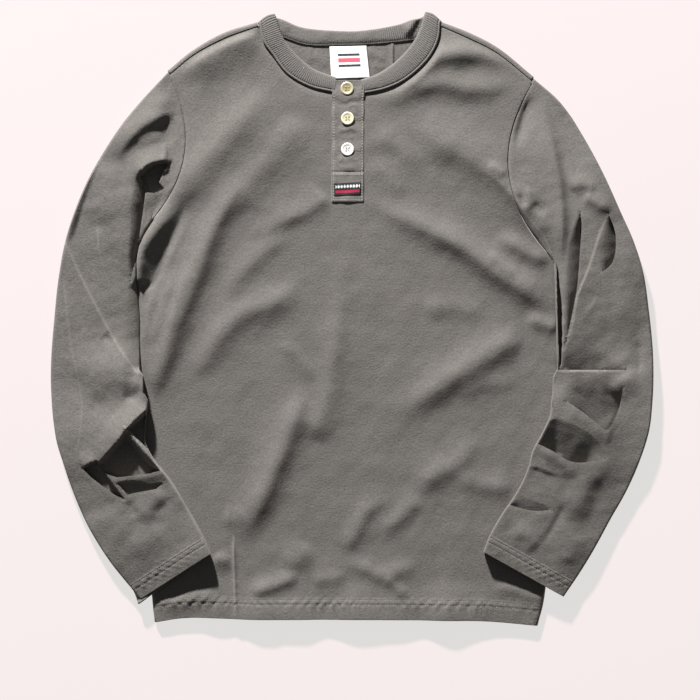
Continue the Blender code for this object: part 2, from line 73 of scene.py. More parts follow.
CUFF_PUFF = {-1: (2.1, 13.0), 1: (4.0, 9.5)}  # thickness at the cuff's outer and inner end
LEAST_THICKNESS = 1.9  # between a sleeve's two walls, in its deepest hollows

# How every fold is shaped
PATH_FINENESS = 7  # points of a fold's path for each one given
FOLD_REACH = 3.2  # the widths past which a fold has died out
FOLD_TAPER = 0.6  # the share of its length over which each end rises
FOLD_NARROWING = 0.3  # how much narrower the ends are
CREST_POWER = 1.6
CREST_SOFT = 0.14  # share of a crest's width over which its edge is rounded off
FACET_SOFT = 0.12  # the same at the foot of a sharply folded slope
WALL_LEAN = 0.3  # walls that face the collar are told from walls that face the hem on this slant
UNDERCUT = 0.9  # how far the foot of an upright wall stands under its edge
WALL_SNAP = 3.0  # points within this distance of an upright wall move onto it
WALL_CLEAR = 0.05
WALL_ENDS = 0.015  # the share of a slope's sharp side that stays as it is at each end
WALL_FACING = -0.1  # a hollow's edge stands upright where it faces the hem more than this
SLOPE_TAPER = 0.7  # the share of its width over which a one-sided slope reaches its depth

# Small waves of the cloth: seed, count, shortest and longest wave, height
BODY_RIPPLES = ((3, 14, 26, 90, 0.55), (5, 18, 8, 24, 0.14))
SLEEVE_RIPPLES = {side: ((11 + side, 14, 20, 70, 0.5), (21 + side, 18, 8, 20, 0.14)) for side in (-1, 1)}
PLACKET_RIPPLES = ((31, 12, 9, 26, 0.4),)

# How a sleeve lies beside the body
ARMHOLE_EASE = (0.35, 2.0, -3.4)  # how far its plan moves out at the seam: all along it, at the underarm, at the tip
EASE_RUN = 1.5  # rows of its table over which that fades
BESIDE_BODY = (-62.0, 10.0)  # the y above which it lies beside the body, and the height over which that changes
LAP_ELBOW = (-54.0, 12.0, 4.5)  # below the elbow it lies further in: the y, the height of the change, and how far
LAP_END = (-145.0, 10.0)  # where it leaves the side seam
LAP_SHARE = 0.72  # the share across it from which it leans inward
TUCKED_PUFF = 5.0
TUCK_CHANGE = (32.0, 16.0)  # the y and the height over which the tucked part narrows
CUFF_RUN = 45.0  # how far up from the cuff its own thickness is felt
SEAM_RUN = 8.0  # the folds die out over this distance at a seam
SEAM_BLEND = 2.5  # rows of its table over which a sleeve's height leaves the front panel's
SEAM_PUCKER = (0.16, 1.9, 3.3)  # small puckers at the armhole seam: height and two wave lengths
SEAM_PUCKER_RUN = 5.0
SEAM_DIP_WIDTH = 1.3

# Where the forearms lie on the body
FOREARM_EDGE = ((60, 262), (232, 150))  # distances below the origin, and how far out their inner folds lie there
FOREARM_EDGE_SOFT = (6, 14)  # how far inside that line the change starts, and its width
FOREARM_TOP = (-45, 25)  # the y where it starts, and its height
FOREARM_CUFF = (-262, 152, 0.6)  # y and x of the cuff's inner corner, and the slope of the cuff's line
FOREARM_CUFF_SOFT = (4, 8)

# The back's own folds
BACK_CALM = (2, 12)  # how far from its edge they begin, and over what distance they rise
BEHIND_NECK = (255, 5, 0.3)  # the y and the height above which they rise faster, and the power of that
BACK_RISE = 1.6  # no higher than this

# Mesh steps
FRONT_STEP = 2.78
FINE_STEP = 1.4  # along stitch rows and pressed creases
BACK_STEP = 6.0
STRIP_STEP = 2.4  # along the shoulder, where the back turns over
SHOULDER_RINGS = 14
EDGE_INSETS = (0.7, 1.6, 3.0)  # rows of points just inside an outline
ROW_CLEAR = 0.93  # the share of its inset that a row's point keeps from every edge
FIELD_CLEAR = 0.6  # the share of a step that the even field keeps from those rows
FINE_CLEAR = 0.5  # and from finer points
ARMHOLE_POINTS = 76
STRIP_SHARES = (0.35, 0.7, 1.0)  # rings across the strip in front of the shoulder
BACK_NECK_STEP = 3.0
NECK_WINDOW = ((-66, 66), (262, 303), 1.6)  # finer points of the back inside the open neck: x, y and step
NECK_CREASE = ((43, 49), (262, 307), 0.5)  # and across the crease there
HEM_FINE = (13.5, 25.0, 1.15)  # finer rows of points along the hem's stitches: from, to and step
CREASE_FINE = (-2.2, -1.4, -0.7, 0, 0.7, 1.4, 2.2)  # and beside the pressed crease
SLEEVE_RINGS = 330
CUFF_RINGS = 60
SLEEVE_FLAT_POINTS = 70
UNDER_POINTS = 14
SLEEVE_BEND_POINTS = 8
SLEEVE_SHARP = 62.0  # degrees between faces that make a sharp edge
BAND_SECTIONS = 1420
LABEL_GRID = (61, 41)

# Turned edges and stitching
HEM_DEPTH = 23.0
HEM_ROWS = (16.5, 21.5)  # stitch rows, from the edge
CUFF_DEPTH = 20.0
CUFF_ROWS = (12.5, 18.0)
TURNED_STEP = (0.55, 1.2)  # the rise at a turned edge, and over what width
PUCKERS = ((9.0, 0.9), (6.2, -0.7), (4.1, 0.5), (13.0, -1.1))  # wrinkles at the stitch rows: pitch, lean
HEM_PUCKER = (0.25, 16.0, 9.0)  # their height, how far from the edge they lie, and how wide a band they fill
CUFF_PUCKER = (0.2, 13.0, 8.0)
HEM_LIFT = 4.2  # how far the open front hem stands off the back
HEM_LIFT_Y = (-286.0, 50.0)
HEM_LIFT_X = (-6.0, 168.0, 40.0)  # its middle, half its width and how softly it ends
HEM_WAVES = ((0.35, 15.5, 0.8), (0.22, 8.3, 2.0))  # its waves: height, length, phase
CUFF_PEEK = {-1: (-5.0, -7.0), 1: (0.0, 0.0)}  # how the cuff's lower layer shows past the upper one at its outer end
CUFF_CURL = 4.2  # and how far its edge turns up there
PEEK_SHARE = (0.03, 0.55)  # the shares across between which it shows
PEEK_RUN = 14.0  # how far up from the cuff's edge
CURL_RUN = 5.0
ROW_GROOVE = (0.44, 0.9)  # a stitch row's groove: depth, width

SHOULDERS = {
    -1: (
        # x, y, seam_inside
        (-106.2, 332.0, 4.6),
        (-144, 320, 6.2),
        (-179, 300, 4.8),
        (-206.5, 277.5, 4.6),
    ),
    1: (
        (99.4, 332.6, 4.6),
        (133, 319.5, 6.2),
        (166, 301.5, 5.4),
        (203.5, 270.5, 4.6),
    ),
}

SIDES = {
    -1: ((-222, 110), (-230, 98), (-236, 86), (-240, 66), (-240, 36), (-237, 0), (-237, -60), (-234, -170),
         (-224, -300), (-220, -339)),
    1: ((226, 65), (228.5, 40), (230, 0), (231, -58), (226, -180), (216, -300), (207, -343)),
}

HEM = ((-220, -339), (-180, -334), (-105, -336), (0, -336), (100, -337), (150, -338), (207, -343))

BACK_NECK = (
    (-106, 329), (-91, 324), (-76, 318), (-47, 310), (-3, 311), (48, 314), (73, 317), (89, 324), (100, 330)
)

SLEEVES = {
    -1: (
        # outer_x, outer_y, inner_x, inner_y, bow, puff, edge
        (-208, 276, -222, 110, 29, 5.3, 3),
        (-238, 241, -234.5, 98, 24, 11, 5),
        (-266, 203, -243.5, 78, 18, 13, 7),
        (-290, 163, -245, 52, 12, 14, 8),
        (-307, 125, -244, 22, 8, 13, 8),
        (-320, 85, -241.5, -8, 6, 12, 8),
        (-328, 40, -241, -36, 4, 11, 8),
        (-332, 0, -240.5, -58, 2, 11, 8),
        (-335, -35, -235, -76, 0, 11, 8),
        (-336, -65, -228, -93, 0, 10, 7),
        (-335, -90, -229.5, -107, 0, 11.5, 7),
        (-333, -112, -231, -122, 0, 14, 6),
        (-329, -137, -230.5, -138, 0, 15.5, 6),
        (-322, -160, -221, -157, 0, 15, 6),
        (-311, -193, -203, -180, 0, 11.5, 6),
        (-294, -232, -186, -208, 0, 9, 6),
        (-269, -272, -170, -236, 0, 9, 6),
        (-236, -313, -158, -262, 0, 9, 6),
    ),
    1: (
        (205, 269, 226, 65, 41.5, 5.3, 3),
        (233, 242, 234.5, 46, 20, 8, 5),
        (257, 205, 236, 29, 14, 10, 7),
        (279, 164, 237, 9, 9, 13, 8),
        (299, 120, 237, -12, 5, 14, 8),
        (314, 86, 236.5, -30, 4, 14, 8),
        (325, 50, 236, -46, 0, 13, 8),
        (331, 10, 232, -61, 0, 11, 8),
        (335, -28, 227, -75, 0, 11, 8),
        (336, -60, 223, -90, 0, 13.5, 7),
        (335, -90, 221, -108, 0, 14.5, 7),
        (331, -125, 212, -128, 0, 15, 6),
        (320, -160, 202, -147, 0, 13.5, 6),
        (306, -192, 196, -169, 0, 10.5, 6),
        (288, -224, 184, -194, 0, 9.3, 6),
        (270, -257, 167, -219, 0, 9, 6),
        (253, -285, 154, -242, 0, 9, 6),
        (236, -310, 147, -260, 0, 9, 6),
    ),
}

NECKBAND = (
    # seam_x, seam_y, free_x, free_y, level
    (-18.5, 253.2, -18.5, 269.6, 1),
    (-47, 260, -41, 278, 1),
    (-72, 274.5, -57, 289.5, 1),
    (-88, 295, -71, 304, 1.1),
    (-99, 311, -79.5, 318, 1.35),
    (-103, 328, -85.5, 337.5, 1.3),
    (-105, 330.5, -87.5, 340, 0.9),
    (-103, 328, -86, 337, 0.55),
    (-90, 321, -83.5, 336, 0.35),
    (-76, 315, -78, 334.5, 0),
    (-47, 306.5, -52, 325, 0),
    (-3, 307, -6, 321.5, 0),
    (24, 308, 23, 323.5, 0),
    (48, 310, 52, 329, 0),
    (62, 311.5, 64, 333, 0),
    (73, 313.6, 75, 336, 0),
    (88, 321, 80, 338, 0),
    (98, 329.5, 81.5, 340, 0.3),
    (99.5, 332, 83, 342.5, 0.7),
    (98, 329.5, 81.5, 340, 1.15),
    (95.5, 311, 76, 323, 1.25),
    (84, 290, 66, 305, 1.35),
    (62, 269.5, 49, 287, 1.3),
    (38, 257.6, 29, 273.5, 1.15),
    (9.5, 251.6, 9.5, 266.5, 1),
)
NECK_MIDDLE = (-3.0, 330.0)
BAND_FRONT = FRONT_LEVEL + 0.5
BAND_BACK = RIB / 2 + 1.6
BAND_TURNS = (6, 18)  # the rows where it turns over at the shoulders
BAND_TURN_BULGE = 2.4
BAND_TURN_RUN = 6.0
# Distances across the band at which it has points, from the seam to the free edge
BAND_ACROSS = (0, 0.35, 0.7, 1.05, 1.4, 1.8, 2.3, 3.0, 4.2, 5.8, 7.6, 9.6, 11.6, 13.4, 14.6, 15.4, 16.0)
BAND_CROWN = 0.9
BAND_BEAD = ((0.55, 0.9, 0.55), (-0.45, 2.2, 0.6))  # the sewn bead and its groove: height, from the seam, width
BAND_ROLL = (0.7, 2.0)  # how far the free edge turns down, and over what width
BAND_SINK = (0.8, 6.0)  # the same at the seam behind the neck
BAND_FLAT = 0.4  # the share of its crown and roll that the band keeps there
BAND_WALL = RIB - 0.2
BAND_FOLDS = (
    ((57, 316, 63, 322, 68, 330, 73, 338, 77, 345), 6, 3, 0.55, 3.6),
    ((-78, 338, -74, 330, -70, 320), 4, 6, 0.5, 0.8),
    ((-40, 312, -28, 318, -20, 324), 5, 5, 0.5, 0.5),
    ((6, 312, 16, 317, 28, 326), 5, 6, 0.5, 0.5),
)
RIB_PITCH = 2.2
RIB_HEIGHT = 0.34
RIBS_FROM = 2.0  # from the seam
RIB_FADE = (1.0, 1.2)  # over what width the ribs begin and end

# Folds: a crest along a smooth path of x, y points; collar_side and hem_side are its widths on either side, peak
# is where along it the crest is highest, and a negative height is a trough.
BODY_FOLDS = (
    # path, collar_side, hem_side, peak, height
    # right shoulder and chest
    ((-102, 320, -150, 300, -194, 268), 12, 24, 0.4, 6.6),
    ((-74, 268, -120, 223, -150, 191, -182, 152, -204, 122), 19, 24, 0.5, 7.4),
    ((-182, 152, -200, 128, -219, 101, -235, 76, -239, 60, -242, 47, -244, 34), 14, 12, 0.74, 11.0),
    ((-52, 228, -76, 198, -116, 149, -148, 104), 18, 19, 0.5, 4.4),
    ((-118, 164, -150, 110, -174, 50, -198, -12, -216, -64, -228, -98), 15, 11.5, 0.42, 8.2),
    ((-26, 139, -50, 121, -82, 108, -120, 88), 13, 9, 0.2, 3.2),
    ((-62, 93, -96, 79, -120, 54, -150, 10), 13, 11, 0.5, 3.0),
    ((-56, 45, -86, 19, -126, 4, -156, -32, -186, -82), 14, 14, 0.45, 5.2),
    ((-196, 62, -212, 10, -226, -34), 7, 7, 0.5, 2.8),
    ((-216, 38, -228, 2, -232, -40), 5, 6, 0.5, 2.3),
    ((-180, 66, -196, 16, -214, -46), 6, 6, 0.4, 2.2),
    # left shoulder and chest
    ((44, 262, 66, 280, 98, 293, 134, 295.5, 186, 284), 12, 13, 0.36, 8.4),
    ((15, 242, 52, 250, 84, 261, 106, 263, 128, 257, 154, 257, 182, 263), 14, 11.5, 0.5, 5.2),
    ((50, 220, 80, 213, 104, 196, 126, 184, 152, 168, 174, 146, 194, 122, 214, 98, 224, 80), 26, 17, 0.5, 7.4),
    ((146, 176, 164, 156, 182, 135, 200, 110), 6, 6, 0.5, 2.6),
    ((152, 173, 162, 167, 173, 158), 5, 4, 0.5, 2.2),
    ((18, 208, 44, 196, 62, 182, 84, 158), 13, 12, 0.4, 2.4),
    ((20, 178, 40, 158, 62, 136), 11, 11, 0.5, 1.8),
    ((4, 135, 32, 124, 60, 111, 92, 97, 116, 85, 137, 71, 157, 55, 180, 40, 202, 25, 228, 5), 15, 12, 0.72, 8.0),
    ((158, 93, 182, 82, 204, 70, 224, 66), 10, 9, 0.55, 4.2),
    ((150, 76, 168, 60, 186, 46), 5, 5, 0.5, 1.6),
    ((192, 0, 210, -4, 230, -11), 7, 8, 0.7, 3.0),
    # belly
    ((42, -124, 66, -99, 88, -82, 112, -66, 138, -50, 160, -36, 178, -27, 194, -25), 17, 15, 0.6, 6.8),
    ((72, 9, 110, 13, 152, 10), 12, 11, 0.5, 1.8),
    ((118, -92, 150, -74, 190, -68), 10, 11, 0.5, 1.8),
    ((-6, 108, -12, 20, -20, -40, -25, -80, -36, -118, -48, -136), 12, 14, 0.65, 4.2),
    ((-88, -30, -68, -36, -52, -54, -44, -76), 8, 8, 0.5, 1.8),
    ((-48, -82, -60, -100, -68, -122, -79, -151, -91, -181, -103, -206, -116, -230, -127, -258), 15, 12.5, 0.42, 8.0),
    ((-146, -222, -132, -222, -116, -214), 12, 9, 0.5, 2.0),
    ((-132, -234, -132.4, -262, -131.5, -290, -130, -338, -129, -356), 1.5, 1.9, 0.5, 1.9),
    ((-154, -264, -145, -269, -134, -266), 6, 9, 0.5, 2.6),
    # above the hem
    ((140, -128, 128, -148, 114, -164, 98, -171, 86, -182, 75, -204), 13, 13, 0.5, 4.4),
    ((112, -176, 142, -185, 184, -190), 11, 12, 0.6, 3.2),
    ((30, -232, 46, -229, 58, -218, 68, -209, 86, -214), 12, 9, 0.5, 2.9),
    ((52, -197, 28, -207, 13, -219, 6, -236, -2, -248, -16, -254), 10, 9, 0.6, 3.2),
    ((-10, -268, 14, -279, 33, -287, 52, -282, 76, -272), 9, 9, 0.45, 3.4),
    ((35, -287, 48, -299, 66, -314), 6, 7, 0.5, 2.2),
    ((-116, -305, -94, -300, -72, -292, -58, -282), 9, 7.5, 0.4, 4.2),
    ((-80, -278, -60, -268, -44, -250), 12, 12, 0.5, 2.6),
    ((-46, -294, -26, -290, -2, -288), 8, 10, 0.4, 2.4),
    ((-226, -314, -200, -317, -172, -309, -148, -312), 7, 9, 0.6, 2.8),
    ((150, -300, 178, -303, 204, -311, 218, -314), 6, 9, 0.5, 2.2),
)

SLEEVE_FOLDS = {
    -1: (
        # upper arm
        ((-194, 236, -216, 226, -237, 213, -254, 194, -266, 170), 20, 7.4, 0.3, 7.4),
        ((-206, 209, -228, 199, -244, 185, -254, 168), 8, 7, 0.4, 1.6),
        ((-205, 246, -207, 220, -206, 190), 8, 8, 0.5, -3.2),
        ((-262, 178, -275, 140, -284, 100), 18, 16, 0.5, 2.6),
        ((-244, 166, -253, 125, -255, 88, -250, 44), 20, 12, 0.5, 3.2),
        ((-278, -17, -271, -23, -264, -27), 6, 5, 0.5, -1.2),
        # elbow
        ((-306, -84, -286, -72, -262, -67, -242, -68), 34, 17, 0.6, 3.6),
        ((-292, -92, -280, -95, -268, -92), 7, 8, 0.5, -0.9),
        ((-256, -88, -246, -88, -237, -92), 5, 5, 0.5, -1.4),
        ((-252, -66, -240, -72, -232, -79, -229, -97), 6, 8, 0.6, 2.4),
        ((-268, -179, -250, -177, -236, -177, -222, -175, -206, -174), 6, 7, 0.5, 2.4),
        # forearm
        ((-210, -190, -222, -206, -236, -230), 13, 9, 0.5, 2.6),
        ((-198, -199, -209, -208, -222, -218), 5, 6, 0.5, -1.0),
        ((-250, -202, -245, -212, -239, -222), 4, 6, 0.5, -1.3),
        ((-205, -232, -228, -246, -252, -262), 14, 14, 0.5, 2.0),
        ((-282, -210, -270, -232, -250, -250), 18, 18, 0.5, 1.8),
    ),
    1: (
        # upper arm
        ((201, 256, 194, 232, 189, 214, 184, 186), 8, 7, 0.5, -3.8),
        ((208, 250, 219, 206, 228, 165, 232, 130, 233, 92, 231, 56), 23, 6.5, 0.55, 7.0),
        ((198, 150, 196, 134, 195, 116), 5, 5, 0.5, 2.0),
        ((188, 140, 190, 132, 194, 124), 4, 4, 0.5, -2.2),
        ((202, 130, 208, 124, 218, 116), 5, 6, 0.5, -1.6),
        ((240, 144, 250, 149, 262, 149, 272, 141), 9, 6, 0.5, 3.0),
        ((257, 137, 270, 131, 288, 118), 8, 6, 0.5, 3.2),
        ((270, 34, 263, 22, 270, 15), 8, 8, 0.5, -1.3),
        ((303, 110, 306, 60, 306, 10, 311, -30), 16, 15, 0.5, 2.4),
        ((262, 200, 284, 150, 300, 100), 26, 22, 0.5, 2.4),
        # elbow
        ((270, -57, 286, -55, 300, -48, 314, -34), 8, 7, 0.5, 2.0),
        ((318, -22, 321, -42, 319, -62), 5, 4, 0.5, -1.6),
        ((232, -97, 248, -105, 262, -115, 272, -126, 280, -142), 9, 8, 0.5, 1.5),
        ((292, -102, 286, -124, 282, -144), 5, 4, 0.5, 1.4),
        ((286, -86, 300, -71, 320, -60), 8, 13, 0.5, 3.4),
        ((206, -143, 226, -156, 240, -167, 252, -178), 7, 9, 0.4, 2.0),
        # forearm
        ((298, -162, 276, -169, 264, -180, 256, -196, 248, -212, 238, -228), 15, 13, 0.5, 3.6),
        ((286, -180, 275, -192, 270, -210, 262, -228, 246, -240), 9, 8, 0.5, -1.4),
        ((238, -204, 228, -225, 212, -253), 4, 6, 0.5, -1.5),
        ((180, -230, 196, -243, 210, -255), 9, 9, 0.5, 1.8),
        ((258, -238, 246, -256, 236, -276), 12, 12, 0.5, 1.6),
    ),
}

# Sharper folds with straight flanks, as rows of the table above.
SLEEVE_EDGES = {
    -1: (
        ((-199, 178, -206, 177, -212, 177, -222, 174.5, -231, 169.5, -239, 161, -245, 144), 19, 3.5, 0.5, 7.5),
        ((-214, 163, -210, 166, -204, 170), 4, 4, 0.5, 3.0),
        ((-276, 196, -297, 152, -308, 121, -319, 80), 6, 5.5, 0.6, 4.2),
        ((-319, 84, -297, 36, -270, -15, -251, -45, -238, -62), 2, 16, 0.5, 1.1),
        ((-284, 104, -281, 72, -270, 40), 2, 9, 0.5, 0.8),
        ((-322, 46, -318, 10, -313, -30, -305, -70, -301, -100, -305, -142), 2, 10, 0.5, 0.8),
        ((-206, -94, -228, -103, -240, -112, -252, -123, -264, -140, -282, -158), 22, 3.5, 0.45, 8.0),
        ((-254, -119, -250.5, -123, -242, -133, -231, -146, -221, -158, -206, -177), 1.8, 1.8, 0.25, 2.2),
        ((-302, -166, -293, -160, -284, -157), 14, 3, 0.5, 2.4),
    ),
    1: (
        ((284, 114, 277, 96, 270, 74, 262, 50, 255, 34, 250, 18, 246, -6, 239, -30, 234, -50), 1.4, 26, 0.3, 1.2),
        ((196, -163, 208, -165, 220, -170, 238, -177), 9, 4, 0.4, 1.5),
        ((214, -57.7, 262, -57.7, 290, -57.7, 308, -57.7), 0.03, 30, 0.45, 1.0),
    ),
}

# Hollows between folds: an outline, its depth, and the widths of its wall toward the collar and toward the hem.
SLEEVE_HOLLOWS = {
    -1: (
        ((-238, 161, -231, 168.5, -221, 174, -208, 176, -204.5, 172, -211, 163, -214.5, 153, -209, 145, -221, 140,
          -231, 141, -236, 147), 12, 3.0, 0),
        ((-301, -167, -292, -160, -284, -157, -277, -168, -267, -182, -252, -202, -264, -197, -278, -187, -291, -177),
         10, 2.0, 0),
        ((-251, -122, -243, -113, -230, -101, -226, -126, -228, -147, -240, -134), 10, 5.0, 1.0),
        ((-284, -161, -276, -152, -268, -143, -260, -134, -252, -126, -246, -132, -241, -137.5, -235, -145, -228, -153,
          -220, -161, -212, -169, -225, -172.5, -240, -174.5, -262, -177, -277, -172), 13.0, 6.0, 0),
        ((-262, -182, -245, -180, -232, -182, -225, -184, -208, -182, -218, -190, -240, -194, -252, -197),
         3.6, 3.0, 0),
    ),
    1: (
        ((228, 64, 232, 50, 236, 15, 236, -20, 234.5, -50, 231, -57, 229.5, -20, 228.5, 20), 14, 1.0, 1.0),
    ),
}

# Slopes that fall softly to a sharp edge: the soft side, the sharp side, the depth there, how the slope
# steepens, and the width of the rise past the edge.
SLEEVE_SLOPES = {
    -1: (
        ((-235, 158, -243, 146, -247, 125, -248, 95, -250, 65, -247, 40),
         (-235, 158, -230, 146, -232, 125, -235.5, 100, -239.5, 72, -247, 40), 13.0, 1.6, 0),
    ),
    1: (
        ((255, 121, 248, 104, 241, 80, 238, 40, 238, 10, 238, -32),
         (255, 121, 256.5, 104, 255, 80, 252, 40, 248, 15, 238, -32), 10.0, 1.5, 0),
        ((285, 120, 280, 98, 273, 78, 277, 50), (285, 120, 293, 100, 294.5, 80, 290, 62, 277, 50), 11.0, 1.9, 0),
        ((229, -57.6, 240, -40, 264, -33, 286, -38, 308, -57.6), (229, -57.6, 250, -57.6, 266, -57.6, 308, -57.6),
         5.5, 1.6, 0),
        ((234, -88, 238, -74, 250, -66, 270, -63, 290, -64, 303, -70),
         (234, -88, 243, -95, 256, -104, 269, -114, 283, -124, 293, -112, 300, -92, 303, -70), 11.0, 1.35, 0),
        ((203, -138, 222, -112, 245, -117, 262, -126, 275, -139, 285, -155),
         (203, -138, 222, -147, 243, -159, 262, -160, 285, -155), 14.0, 1.05, 0),
        ((173, -207, 188, -200, 206, -203, 226, -213), (173, -207, 190, -212, 206, -214.5, 226, -213), 2.6, 1.2, 0),
    ),
}

# The same on the body.
BODY_SLOPES = (
    ((-186, 132, -204, 112, -218, 97, -230, 78, -237, 58, -240, 40, -231, 28),
     (-186, 132, -193, 112, -199, 97, -210, 73, -219, 50, -231, 28), 4.0, 1.0, 9.0),
)

# Folds pressed into the cloth, worn lighter, and edges and crests where the light catches, painted lighter as a
# painted highlight: path, width, amount.
WORN_AND_HIGHLIT_LINES = (
    # pressed creases, worn lighter
    ((-321, 88, -297, 36, -270, -15, -251, -45, -238, -62), 0.9, 1.0),
    ((-284, 108, -281, 72, -270, 38), 0.8, 0.6),
    ((-322, 46, -318, 10, -313, -30, -305, -70, -301, -100, -305, -142), 0.9, 0.5),
    # painted highlights: the forearms' inner edges, the body's side edge, a sleeve's ridge and its elbow crest,
    # painted lighter where the light catches them
    ((-250, -123, -242, -133, -223, -156, -206, -177, -190, -201, -171, -235, -158, -261), 1.0, 1.0),
    ((-226, 104, -236, 88, -240, 66, -241, 38, -238, 0, -238, -60), 1.0, 0.9),
    ((284, 114, 277, 96, 270, 74, 262, 50, 255, 34, 250, 18, 246, -6, 239, -30, 234, -50), 0.8, 0.7),
    ((231, -58.4, 258, -58.4, 290, -58.2), 0.9, 0.5),
    ((231, -62, 223, -88, 220, -110, 205, -138, 196, -168, 183, -196, 165, -224, 155, -245, 148, -258), 0.8, 0.2),
    # a pressed fold edge beside the armhole and a crease on the belly, worn lighter
    ((148, 166, 164, 154, 182, 135, 196, 114, 213, 94, 225, 70), 1.0, 0.9),
    ((-132, -243, -132.4, -262, -131.5, -290, -130, -338), 0.9, 0.9),
)
# how much lighter those lines are, wear and painted highlight alike
WEAR_AND_HIGHLIGHT_TINT = 1.38

BACK_FOLDS = (
    ((-60, 262, -20, 240, 30, 250), 14, 12, 0.5, 0.9),
    ((45.4, 314, 45.4, 300, 45.8, 262), 2.6, 1.0, 0.5, 1.6),
    ((-48, 308, -47, 298, -47, 284), 3, 3, 0.5, 0.8),
    ((16, 304, 26, 296, 40, 288), 5, 5, 0.5, 1.0),
    ((-46, 297, -36, 291, -27, 280), 6, 5, 0.5, 0.8),
    ((22, 286, 30, 282, 38, 281), 5, 4, 0.5, 0.8),
    ((-150, 180, -90, 60, -130, -90), 20, 18, 0.5, 1.2),
    ((170, 150, 100, 20, 140, -120), 18, 20, 0.5, 1.2),
    ((-120, -180, 0, -150, 120, -200), 18, 16, 0.5, 1.1),
    ((-170, -60, -60, -90, 20, -60), 14, 16, 0.5, 1.0),
)

# Placket
PLACKET_TOP = (-4.2, 267.0)
PLACKET_FOOT = (-4.8, 130.0)
PLACKET_WIDTH = 36.0
INNER_WIDTH = 26.0
SLIT_WIDTH = 28.0
SLIT_FOOT_Y = 135.0
BOX_TOP_Y = 163.0  # where the placket's lower end steps up over the strip
BAND_CLEAR_Y = 249.0  # above this the placket lies over the ends of the neckband
PLACKET_LIFT = 1.45
PLACKET_FOLDS = (
    ((-18, 247, -8, 244, 2, 246, 10, 242), 4, 3, 0.5, 0.9),
    ((-16, 238, -8, 236, 2, 239, 9, 236), 3, 3, 0.5, 0.6),
    ((-18, 214, -8, 211, 0, 213, 8, 208), 4, 3, 0.5, 0.9),
    ((-14, 205, -6, 203, 6, 204), 3, 3, 0.5, 0.5),
    ((-19, 181, -10, 178, -1, 180, 9, 174), 5, 4, 0.5, 1.0),
    ((-17, 171, -6, 169, 6, 170), 3, 3, 0.5, 0.5),
)
PLACKET_WALL = 1.0
BAND_LIFT = 0.55
BAND_CLIMB = 6.0  # over what length it rises onto the band
INNER_SINK = 0.2  # how far the inner strip lies below the front panel
PLACKET_STEP = 0.75
EDGE_ROW = 2.2  # the stitch rows, from the placket's long edges, its foot and the step at its box
FOOT_ROW = 3.2
BOX_ROW = 2.0
BOX_STEP = (0.45, 0.9)  # its rise there, and over what length
BOX_GROOVE = (0.55, 1.3, 0.9)  # depth, place past the step, width
EDGE_TURN = (1.3, 1.8)  # how far the long edges turn down, and over what width
FOOT_TURN = (1.7, 3.0)
EDGE_GROOVE = (0.42, 0.7)  # a stitch row's groove: depth, width
FOOT_GROOVE = (0.3, 0.6)
FOOT_ENDS = (1.5, 1.0)  # how far from the long edges the foot's row starts, and over what width
EDGE_TURN_TOP = 3.0  # the long edges stop turning down over this length below the band
PLACKET_CALM = (3, 3)  # how far from the long edges its folds begin, and over what width they rise

BUTTONS = (
    # name, x, y, finish
    ("button_top", -5.5, 257.5, "brass"),
    ("button_middle", -5.0, 224.0, "cream"),
    ("button_bottom", -5.0, 189.5, "pearl"),
)
# The rims are painted lighter than the middles: partly the buttons' own colour, partly a painted highlight where the
# raised rim catches the light.
BUTTON_FINISHES = (
    # name, rim colour, middle colour, metallic, roughness, coat
    ("brass", (0.90, 0.82, 0.60), (0.62, 0.50, 0.22), 0.55, 0.34, 0.2),
    ("cream", (0.74, 0.68, 0.48), (0.66, 0.58, 0.36), 0.0, 0.34, 0.3),
    ("pearl", (0.80, 0.79, 0.75), (0.74, 0.73, 0.68), 0.0, 0.28, 0.5),
)
BUTTON_RADIUS = 7.25
BUTTON_PROFILE = (
    # share of the radius, height
    (0.0, 1.05), (0.30, 1.05), (0.46, 1.08), (0.58, 1.15), (0.66, 1.32), (0.72, 1.50), (0.78, 1.62), (0.86, 1.66),
    (0.92, 1.60), (0.97, 1.38), (1.0, 1.05), (1.0, 0.75), (0.96, 0.42), (0.88, 0.18), (0.75, 0.05), (0.60, 0.0),
    (0.0, 0.0),
)
BUTTON_SIDES = 72
BUTTON_HOLE_RADIUS = 0.75
BUTTON_HOLE_APART = 1.55
BUTTON_HOLE_SIDES = 16
BUTTON_HOLE_REACH = (-1.0, 4.0)  # the drill's lower and upper end, from the button's underside
BUTTON_BEVEL = (0.1, 2, 50.0)  # width, segments, and degrees between faces that get one
BUTTON_RIM = (0.5, 0.25)  # the share of the radius where the rim's colour begins, and over what share
BUTTONHOLE = (6.2, 14.2, 1.0)  # from the button's middle to the slit's ends, and from the slit to its stitches

NECK_LABEL = ((-25, 304.5), (16, 305.5), (20, 270), (-23, 268.5))
PLACKET_LABEL = ((-20, 151.5), (10, 153), (9.5, 139), (-20, 137.5))
LABEL_TURN = (0.25, 0.8)  # how far a label's edges turn down, and over what width
LABEL_BOW = 0.9  # how far the neck label's free end stands up
LABEL_WALL = LABEL * 0.7

# Thread
HEM_THREAD = (2.0, 4)  # the step of its path, and how many points it ends before the side seams
CUFF_THREAD = (1.2, 90)  # how many rows of the sleeve's table it is looked for in, and sections there
THREAD_PROUD = 0.05  # how far it stands off the cloth
CUFF_THREAD_SINK = 0.15  # and how far it stands in it under the cuff
PLACKET_THREAD = (3.0, 0.5, 1.5)  # how far below the top it starts, how far it leans there, and its step
SLIT_THREAD = (0.8, 0.15)  # a buttonhole's: step, and how far it stands off
BUTTON_THREAD = (0.15, 0.25)  # how far it stands off the button, and one run off the other

# Noises of the cloth: scale, detail and roughness
SPECK = (430.0, 2.0, 0.8)
YARN = (310.0, 4.0, 0.65)
CLOUD = (26.0, 3.0, 0.5)

